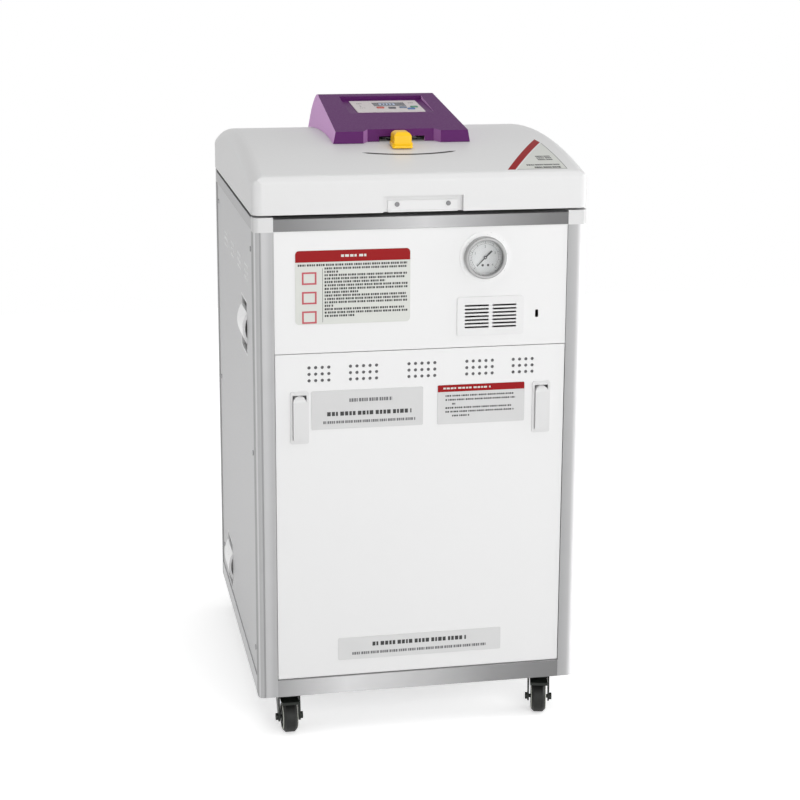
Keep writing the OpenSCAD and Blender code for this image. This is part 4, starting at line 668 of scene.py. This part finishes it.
# %% Notice band
BAND_H, BAND_R, BAND_EDGE = 17.4, 5.7, 0.3
HEAD_LEFT, HEAD_W, HEAD_DOWN, HEAD_H, HEAD_GROW = 18, 38, 9, 3.6, 2.0
TOP_CORNERS = (1, 1, 0, 0)
lo, hi = box_mm("notice_plate")
left, right, top = lo[0], hi[0], hi[2]
middle, wide, high = (left + right) / 2, right - left, top - lo[2]
face = on_front(lo[1])
marks("notice_band", [rounded(middle, top - BAND_EDGE - BAND_H / 2, wide - 2 * BAND_EDGE, BAND_H,
                              BAND_R, corners=TOP_CORNERS)],
      face, ink_red, "cabinet", THICK_PRINT)
marks("notice_band_print",
      dash_row(middle - HEAD_LEFT, HEAD_W, top - HEAD_DOWN, HEAD_H, HEAD_GROW),
      raised(face, THICK_PRINT), film_pale, "cabinet")
print("notice plate in mm:", round(wide), "by", round(high))

# %% Notice rows
COLUMN_W, ROW_EDGE, ROW_H, ROW_STEP, ROWS_DOWN = 41, 3, 3.1, 5.15, 27.5
FULL_ROW_IN, FULL_ROW_SHORT, FULL_ROW_H, FULL_ROW_DOWN = 4, 9, 3.2, 22.2
RULE_T, RULE_SHORT, RULE_DOWN = 0.6, 30, 12
ROW_ENDS = (0.99, 0.16, 0.99, 0.97, 0.72, 0.99, 0.99, 0.40, 0.97, 0.99, 0.99, 0.10, 0.95, 0.99,
            0.36)
rows = dash_row(left + FULL_ROW_IN, wide - FULL_ROW_SHORT, top - FULL_ROW_DOWN, FULL_ROW_H)
for k, share in enumerate(ROW_ENDS):
    rows += dash_row(left + COLUMN_W + ROW_EDGE, (wide - COLUMN_W - 2 * ROW_EDGE) * share,
                     top - ROWS_DOWN - k * ROW_STEP, ROW_H, start=3 * k)
marks("notice_rows", rows, face, ink_grey, "cabinet")
rule = rect(left + COLUMN_W, (top + lo[2]) / 2 - RULE_DOWN, RULE_T, high - RULE_SHORT)
marks("notice_rule", [rule], face, ink_grey, "cabinet")
print("rows of print:", 1 + len(ROW_ENDS))

# %% Notice squares
SQUARE_W, SQUARE_H, SQUARE_T = 22, 19, 2.6
SQUARES, SQUARE_IN, SQUARE_DOWN, SQUARE_STEP = 3, 21, 42, 29.5
squares = []
for k in range(SQUARES):
    squares += frame_lines(left + SQUARE_IN, top - SQUARE_DOWN - SQUARE_STEP * k, SQUARE_W,
                           SQUARE_H, SQUARE_T)
marks("notice_squares", squares, face, ink_rose, "cabinet")
print("outlined squares:", SQUARES)

# %% [markdown]
# ## Plates on the door
# The left plate carries three rows of bars, the right one a red band and a few rows of small
# print, and the low one two rows. They lie flat, with no border.

# %% Bars on the silver plates
MIDDLE_DOWN = 31
HIGH_THIN, MID_BOLD, MID_THIN, LOW_BOLD, LOW_THIN = 14, -6.5, -19.5, 145.5, 131.5
lo, hi = box_mm("door_plates")
face, plates_top = on_front(lo[1]), hi[2]
plate_v = plates_top - MIDDLE_DOWN
thin_bars = dash_rows((-112, 66, plate_v + HIGH_THIN, 5.4, 1.1),
                      (-152, 142, plate_v + MID_THIN, 4.2, 0.95, 2),
                      (-108, 214, LOW_THIN, 4.4, 1.05))
bold_bars = dash_rows((-146, 130, plate_v + MID_BOLD, 6.4, 1.9, 1),
                      (-76, 150, LOW_BOLD, 6.6, 1.9, 2))
marks("plate_thin_bars", thin_bars, face, ink_pale, "door")
marks("plate_bold_bars", bold_bars, face, ink_grey, "door")
print("bars on the silver plates:", len(thin_bars) + len(bold_bars))

# %% Care plate
CARE_LEFT, CARE_W, CARE_EDGE = 24.5, 137, 0.3
CARE_BAND_H, CARE_BAND_R, CARE_BAND_DOWN = 10.8, 2.0, 5.7
CARE_HEAD_IN, CARE_HEAD_W, CARE_HEAD_DOWN, CARE_HEAD_GROW = 9, 74, 5.6, 1.7
CARE_ROWS = ((17.5, 12.5, 120), (23.8, 12.5, 122), (30.2, 23, 28), (36.5, 12.5, 116),
             (42.6, 12.5, 120), (49.0, 23, 50))
CARE_ROW_H = 2.6
care_band = rounded(CARE_LEFT + CARE_W / 2, plates_top - CARE_BAND_DOWN, CARE_W - 2 * CARE_EDGE,
                    CARE_BAND_H, CARE_BAND_R, corners=TOP_CORNERS)
marks("care_band", [care_band], face, ink_red, "door", THICK_PRINT)
care_head = dash_row(CARE_LEFT + CARE_HEAD_IN, CARE_HEAD_W, plates_top - CARE_HEAD_DOWN,
                     CARE_ROW_H, CARE_HEAD_GROW)
marks("care_band_print", care_head, raised(face, THICK_PRINT), film_pale, "door")
care_rows = dash_rows(*((CARE_LEFT + start, end - start, plates_top - down, CARE_ROW_H, 1.0,
                         int(down)) for down, start, end in CARE_ROWS))
marks("care_rows", care_rows, face, ink_grey, "door")
print("care plate: rows of print", len(CARE_ROWS))

# %% [markdown]
# ## Gauge dial
# The scale runs clockwise from the lower left. It has long and short ticks, a thin arc and
# plain numbers. The numbers are text objects, because a font draws them better than bars. The
# print lies on the dial, whose front is a little behind the needle's back.

# %% Dial plane
NEEDLE_GAP = 1.6
SCALE_START, SCALE_SWEEP = 225, 270
dial_lo, dial_hi = box_mm("gauge_dial")
needle_hi = box_mm("gauge_needle")[1]
gx, gz = (dial_lo[0] + dial_hi[0]) / 2, (dial_lo[2] + dial_hi[2]) / 2
dial_front = needle_hi[1] + NEEDLE_GAP
dial_face = on_front(dial_front)


def polar(r, degrees):
    a = math.radians(degrees)
    return gx + r * math.cos(a), gz + r * math.sin(a)


def tick(degrees, r0, r1, t):
    a = math.radians(degrees)
    side = (-math.sin(a) * t / 2, math.cos(a) * t / 2)
    (x0, z0), (x1, z1) = polar(r0, degrees), polar(r1, degrees)
    return [(x0 - side[0], z0 - side[1]), (x1 - side[0], z1 - side[1]),
            (x1 + side[0], z1 + side[1]), (x0 + side[0], z0 + side[1])]


print("dial centre in mm:", round(gx, 1), round(gz, 1))

# %% Dial scale
STEPS, STEPS_TO_LONG = 40, 5
TICK_OUT, LONG_IN, SHORT_IN, LONG_T, SHORT_T = 24.2, 21.0, 22.4, 0.6, 0.3
DIAL_ARC_IN, DIAL_ARC_OUT = 20.6, 21.0
DOT_R, DOT_DOWN, DOT_LEFT, DOT_RIGHT = 1.9, 12, 3.6, 4.8
ticks, arc = [], []
for k in range(STEPS + 1):
    angle = SCALE_START - SCALE_SWEEP * k / STEPS
    inner, thick = (SHORT_IN, SHORT_T) if k % STEPS_TO_LONG else (LONG_IN, LONG_T)
    ticks.append(tick(angle, inner, TICK_OUT, thick))
    if k < STEPS:
        ahead = angle - SCALE_SWEEP / STEPS
        arc.append([polar(DIAL_ARC_IN, ahead), polar(DIAL_ARC_OUT, ahead),
                    polar(DIAL_ARC_OUT, angle), polar(DIAL_ARC_IN, angle)])
dots = [disc(gx - DOT_LEFT, gz - DOT_DOWN, DOT_R), disc(gx + DOT_RIGHT, gz - DOT_DOWN, DOT_R)]
marks("dial_ticks", ticks, dial_face, ink_grey, "cabinet")
marks("dial_arc", arc, dial_face, ink_pale, "cabinet")
marks("dial_dots", dots, dial_face, ink_grey, "cabinet")
print("ticks on the dial:", len(ticks))

# %% Dial numbers
NUMBERS, NUMBER_R, NUMBER_SIZE, NUMBER_RISE = 5, 16.6, 0.0055, 0.00005
for k in range(NUMBERS):
    x, z = polar(NUMBER_R, SCALE_START - SCALE_SWEEP * k / (NUMBERS - 1))
    text = bpy.data.curves.new("dial_number_%d" % k, "FONT")
    text.body = str(k)
    text.size = NUMBER_SIZE
    text.align_x = "CENTER"
    text.align_y = "CENTER"
    text.extrude = NUMBER_RISE
    text.materials.append(ink_pale)
    number = bpy.data.objects.new("dial_number_%d" % k, text)
    number.location = (x * MM, (dial_front - PRINT) * MM, z * MM)
    number.rotation_euler = (math.pi / 2, 0, 0)
    bpy.context.scene.collection.objects.link(number)
    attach(number, "cabinet")
print("numbers on the dial:", NUMBERS)

# %% [markdown]
# ## Control panel
# The panel is tilted, so its marks need a plane of their own. The display's highest edge gives
# the height of that plane. The display shows a pale field with dark bars, and small marks
# stand beside the keys.

# %% Panel plane
TILT = math.radians(6)
PANEL_X, PANEL_Y = 5, -20
DISPLAY_AT = (6, 64.5)
DISPLAY_PROUD, OVERLAY_PROUD = 0.9, 1.2
up = Vector((0, math.cos(TILT), math.sin(TILT)))
out = Vector((0, -math.sin(TILT), math.cos(TILT)))
display_level = max(corner.co.dot(out) for corner in nodes["display"].data.vertices)
panel_z = (display_level - DISPLAY_PROUD * MM + math.sin(TILT) * PANEL_Y * MM) / math.cos(TILT)


def on_overlay(u, v, level):
    origin = Vector(((PANEL_X + u) * MM, PANEL_Y * MM, panel_z))
    return tuple(origin + up * (v * MM) + out * ((OVERLAY_PROUD + level) * MM))


def on_display(u, v, level):
    return on_overlay(DISPLAY_AT[0] + u, DISPLAY_AT[1] + v, DISPLAY_PROUD - OVERLAY_PROUD + level)


print("the panel's plane starts at height", round(panel_z, 4))

# %% Panel marks
FIELD = (-3, 2, 26, 15, 1.0)
DIGITS, DIGIT_LEFT, DIGIT_STEP, DIGIT_V, DIGIT_W, DIGIT_H = 4, -11, 5.4, 2, 3.2, 9.0
BAR_H, BAR_ROWS = 1.6, ((13, 11, 6), (13, 9, 0), (-24, 7, 6))
SIGN_H, SIGN_ROWS = 1.4, ((-47, 9, 74), (-47, 7, 70), (-47, 9, 37), (40, 10, 76), (40, 8, 72))
LAMP_R, LAMPS_AT = 1.3, ((-44, 55), (-44, 48))
digits = [rect(DIGIT_LEFT + DIGIT_STEP * k, DIGIT_V, DIGIT_W, DIGIT_H) for k in range(DIGITS)]
bars = dash_rows(*((*row, BAR_H) for row in BAR_ROWS))
signs = dash_rows(*((*row, SIGN_H) for row in SIGN_ROWS))
signs += [disc(u, v, LAMP_R) for u, v in LAMPS_AT]
marks("display_field", [rounded(*FIELD)], on_display, lit, "lid")
marks("display_digits", digits, raised(on_display, PRINT), ink_grey, "lid",
      THIN_PRINT)
marks("display_bars", bars, on_display, ink_pale, "lid")
marks("panel_signs", signs, on_overlay, ink_grey, "lid")
print("marks on the panel:", len(digits) + len(bars) + len(signs))

# %% [markdown]
# ## Marks on the lid
# A dark arc with an arrow head at each end shows which way the lever goes. A sticker with a
# red stripe lies near the right front corner. Both follow the crown: they are cut into short
# pieces, and each corner is set on the crown's own circle.

# %% Crown of the lid
CROWN_RISE = 36
lid_lo, lid_hi = box_mm("lid_cover")
half_depth = (lid_hi[1] - lid_lo[1]) / 2
crown_r = (half_depth ** 2 + CROWN_RISE ** 2) / (2 * CROWN_RISE)
crown_top = max(1000 * c.z + crown_r - math.sqrt(crown_r ** 2 - (1000 * c.y) ** 2)
                for c in (vertex.co for vertex in nodes["lid_cover"].data.vertices))


def on_crown(u, v, level):
    lean = v / crown_r
    rise = math.sqrt(1 - lean ** 2)
    return (u * MM, (v + lean * level) * MM,
            (crown_top - crown_r * (1 - rise) + rise * level) * MM)


def round_lock(r, degrees):
    a = math.radians(degrees)
    return r * math.sin(a), -r * math.cos(a)


print("crown radius and top in mm:", round(crown_r, 1), round(crown_top, 2))

# %% Lever arc
ARC_IN, ARC_OUT, ARC_HALF = 193.6, 199.6, 19
HEAD_LONG, HEAD_HALF = 3, 3.2
arc_marks = [[round_lock(ARC_OUT, a), round_lock(ARC_OUT, a + 1), round_lock(ARC_IN, a + 1),
              round_lock(ARC_IN, a)] for a in range(-ARC_HALF, ARC_HALF)]
middle_r = (ARC_IN + ARC_OUT) / 2
for side in (-1, 1):
    head = [round_lock(middle_r, side * (ARC_HALF + HEAD_LONG)),
            round_lock(middle_r + HEAD_HALF, side * ARC_HALF),
            round_lock(middle_r - HEAD_HALF, side * ARC_HALF)]
    arc_marks.append(head if side < 0 else list(reversed(head)))
marks("lever_arc", arc_marks, on_crown, ink_grey, "lid", THICK_PRINT)
print("pieces of the lever's arc:", len(arc_marks))

# %% Strips over the crown
STRIPS = 8


def strips(front_left, front_right, back_right, back_left):
    def between(first, second, share):
        return tuple(a + (b - a) * share for a, b in zip(first, second))

    pieces = []
    for i in range(STRIPS):
        low, high = i / STRIPS, (i + 1) / STRIPS
        quad = [between(front_left, back_left, low), between(front_right, back_right, low),
                between(front_right, back_right, high), between(front_left, back_left, high)]
        pieces.append(quad[:3] if quad[2] == quad[3] else quad)
    return pieces


print("strips to a form:", STRIPS)

# %% Corner sticker
FRONT, TIP = -277, -146
STRIPE = ((132, FRONT), (144, FRONT), (219.5, -140), (216.5, -118))
TRIANGLE = ((147, FRONT), (225, FRONT), (219.5, TIP), (219.5, TIP))
SIDE_LINE = ((224.2, FRONT), (225, FRONT), (219.7, TIP), (219.0, TIP))
FRONT_LINE = (186, -276.6, 78, 0.9)
STICKER_ROWS = ((176, 42, -270, 6.5), (166, 52, -259, 5.5), (190, 24, -236, 5.0),
                (190, 24, -228, 5.0), (190, 24, -220, 5.0))
stripe, field = strips(*STRIPE), strips(*TRIANGLE)
marks("sticker_field", field, on_crown, film_pale, "lid")
marks("sticker_stripe", stripe, on_crown, ink_red, "lid")
sticker_print = dash_rows(*STICKER_ROWS) + strips(*SIDE_LINE) + [rect(*FRONT_LINE)]
marks("sticker_rows", sticker_print, raised(on_crown, PRINT), ink_grey, "lid",
      THIN_PRINT)
print("pieces of the sticker:", len(stripe) + len(field) + len(sticker_print))

# %% [markdown]
# ## Floor and background
# The studio is white all round. The world lights the object softly at a plain level. What the
# camera sees of it is pure white, which Light Path gives without more light on the object.
# Reflections see the same white walls under a darker ceiling, so that the tops of things
# keep their colour. The floor does the same and keeps the object's shadow, and its own glow is
# weaker near the object, so that the shadow there stays deep.

# %% Rays that see white
def sees_white(tree):
    rays = tree.nodes.new("ShaderNodeLightPath")
    seen = math_node(tree, "MAXIMUM", rays.outputs["Is Camera Ray"], rays.outputs["Is Glossy Ray"])
    return math_node(tree, "MAXIMUM", seen, rays.outputs["Is Transmission Ray"])


def mixed(tree, factor, plain, seen):
    mix = tree.nodes.new("ShaderNodeMixShader")
    tree.links.new(factor, mix.inputs["Fac"])
    tree.links.new(plain, mix.inputs[1])
    tree.links.new(seen, mix.inputs[2])
    return mix.outputs[0]


print("ray helpers ready")

# %% World
AMBIENT, WHITE = 0.45, (1, 1, 1, 1)
CEILING, WALL_TOP, CEILING_FROM = 0.50, 0.10, 0.38
world = bpy.data.worlds.new("studio")
world.use_nodes = True
tree = world.node_tree
tree.nodes.clear()
soft = add(tree, "ShaderNodeBackground", Color=WHITE, Strength=AMBIENT)
white = add(tree, "ShaderNodeBackground", Color=WHITE, Strength=1.0)
mirrored = tree.nodes.new("ShaderNodeBackground")
split = tree.nodes.new("ShaderNodeSeparateXYZ")
tree.links.new(tree.nodes.new("ShaderNodeTexCoord").outputs["Generated"], split.inputs[0])
tree.links.new(spread(tree, split.outputs["Z"], 1.0, CEILING, WALL_TOP, CEILING_FROM),
               mirrored.inputs["Color"])
rays = tree.nodes.new("ShaderNodeLightPath")
seen = mixed(tree, rays.outputs["Is Glossy Ray"], white.outputs[0], mirrored.outputs[0])
world_end = tree.nodes.new("ShaderNodeOutputWorld")
tree.links.new(mixed(tree, sees_white(tree), soft.outputs[0], seen), world_end.inputs["Surface"])
bpy.context.scene.world = world
print("ambient light:", AMBIENT)

# %% Floor finish
BOUNCE, SHOWN = (grey(0.67), grey(0.71)), (grey(0.88), grey(0.90))
CLOUD_SIZE, CLOUD_DETAIL = 2.0, 2.0
GLOW_FAR, GLOW_NEAR, GLOW_FROM, GLOW_TO = 0.62, 0.47, 0.05, 0.72
floor_mat = bpy.data.materials.new("floor_pale")
floor_mat.use_nodes = True
tree = floor_mat.node_tree
tree.nodes.clear()
coords = tree.nodes.new("ShaderNodeTexCoord").outputs["Object"]
cloudy = noise(tree, coords, CLOUD_SIZE, CLOUD_DETAIL)
bounce = tree.nodes.new("ShaderNodeBsdfDiffuse")
tree.links.new(blend_colours(tree, cloudy, *BOUNCE), bounce.inputs["Color"])
catcher = tree.nodes.new("ShaderNodeBsdfDiffuse")
tree.links.new(blend_colours(tree, cloudy, *SHOWN), catcher.inputs["Color"])
near = tree.nodes.new("ShaderNodeTexGradient")
near.gradient_type = "SPHERICAL"
tree.links.new(coords, near.inputs["Vector"])
glow = add(tree, "ShaderNodeEmission", Color=WHITE)
tree.links.new(spread(tree, near.outputs["Fac"], GLOW_FAR, GLOW_NEAR, GLOW_FROM, GLOW_TO),
               glow.inputs["Strength"])
both = tree.nodes.new("ShaderNodeAddShader")
tree.links.new(catcher.outputs[0], both.inputs[0])
tree.links.new(glow.outputs[0], both.inputs[1])
floor_end = tree.nodes.new("ShaderNodeOutputMaterial")
tree.links.new(mixed(tree, sees_white(tree), bounce.outputs[0], both.outputs[0]),
               floor_end.inputs["Surface"])
print("floor finish ready")

# %% Floor
FLOOR_HALF = 3.0
corners = [(x * FLOOR_HALF, y * FLOOR_HALF, 0) for x, y in ((-1, -1), (1, -1), (1, 1), (-1, 1))]
floor_mesh = bpy.data.meshes.new("floor")
floor_mesh.from_pydata(corners, [], [(0, 1, 2, 3)])
floor_mesh.materials.append(floor_mat)
floor = bpy.data.objects.new("floor", floor_mesh)
bpy.context.scene.collection.objects.link(floor)
print("floor in metres:", 2 * FLOOR_HALF)

# %% [markdown]
# ## Lights
# Four large soft lamps: the main one in front and a little to the right, one above, a weak one
# at the left and one at the right that brightens the rounded posts. Large lamps give soft
# shadows, and their power is low enough that white paint keeps its tone.

# %% Lamps
LAMP_AIM = (0, 0, 0.5)


def lamp(name, place, size, power):
    data = bpy.data.lights.new(name, "AREA")
    data.shape = "RECTANGLE"
    data.size, data.size_y = size
    data.energy = power
    obj = bpy.data.objects.new(name, data)
    obj.location = place
    obj.rotation_euler = (Vector(LAMP_AIM) - Vector(place)).to_track_quat("-Z", "Y").to_euler()
    bpy.context.scene.collection.objects.link(obj)
    print(name, power, "W")


lamp("front_lamp", (0.5, -3.2, 1.35), (2.6, 1.8), 50)
lamp("top_lamp", (0.2, -0.4, 3.4), (3.0, 3.0), 24)
lamp("left_lamp", (-3.2, -0.6, 1.1), (1.6, 2.4), 13)
lamp("right_lamp", (3.2, -0.3, 1.0), (1.6, 2.0), 40)

# %% [markdown]
# ## Camera
# The camera stands left of the middle and above the lid, and looks down on the object, so its
# upright edges draw together a little towards the floor. The small lens shift only moves the
# object up or down in the frame.

# %% Camera
IMAGE_PX, SENSOR_MM = 800, 36
FOCAL_PX, SHIFT_PX = 1782.07, -72
YAW, PITCH, ROLL = 0.196062, -0.217729, 0.004555
CAMERA_AT = (-0.54504, -2.86029, 1.22912)
camera_data = bpy.data.cameras.new("camera")
camera_data.sensor_width = SENSOR_MM
camera_data.lens = FOCAL_PX * SENSOR_MM / IMAGE_PX
camera_data.shift_y = SHIFT_PX / IMAGE_PX
camera = bpy.data.objects.new("camera", camera_data)
forward = Vector((math.sin(YAW) * math.cos(PITCH), math.cos(YAW) * math.cos(PITCH),
                  math.sin(PITCH)))
right_hand = Vector((math.cos(YAW), -math.sin(YAW), 0))
above = right_hand.cross(forward)
right_hand, above = (math.cos(ROLL) * right_hand + math.sin(ROLL) * above,
                     -math.sin(ROLL) * right_hand + math.cos(ROLL) * above)
turn = Matrix((right_hand, above, -forward)).transposed()
camera.matrix_world = Matrix.Translation(CAMERA_AT) @ turn.to_4x4()
bpy.context.scene.collection.objects.link(camera)
bpy.context.scene.camera = camera
bpy.context.scene.view_settings.view_transform = "Standard"
print("lens in mm:", round(camera_data.lens, 1))
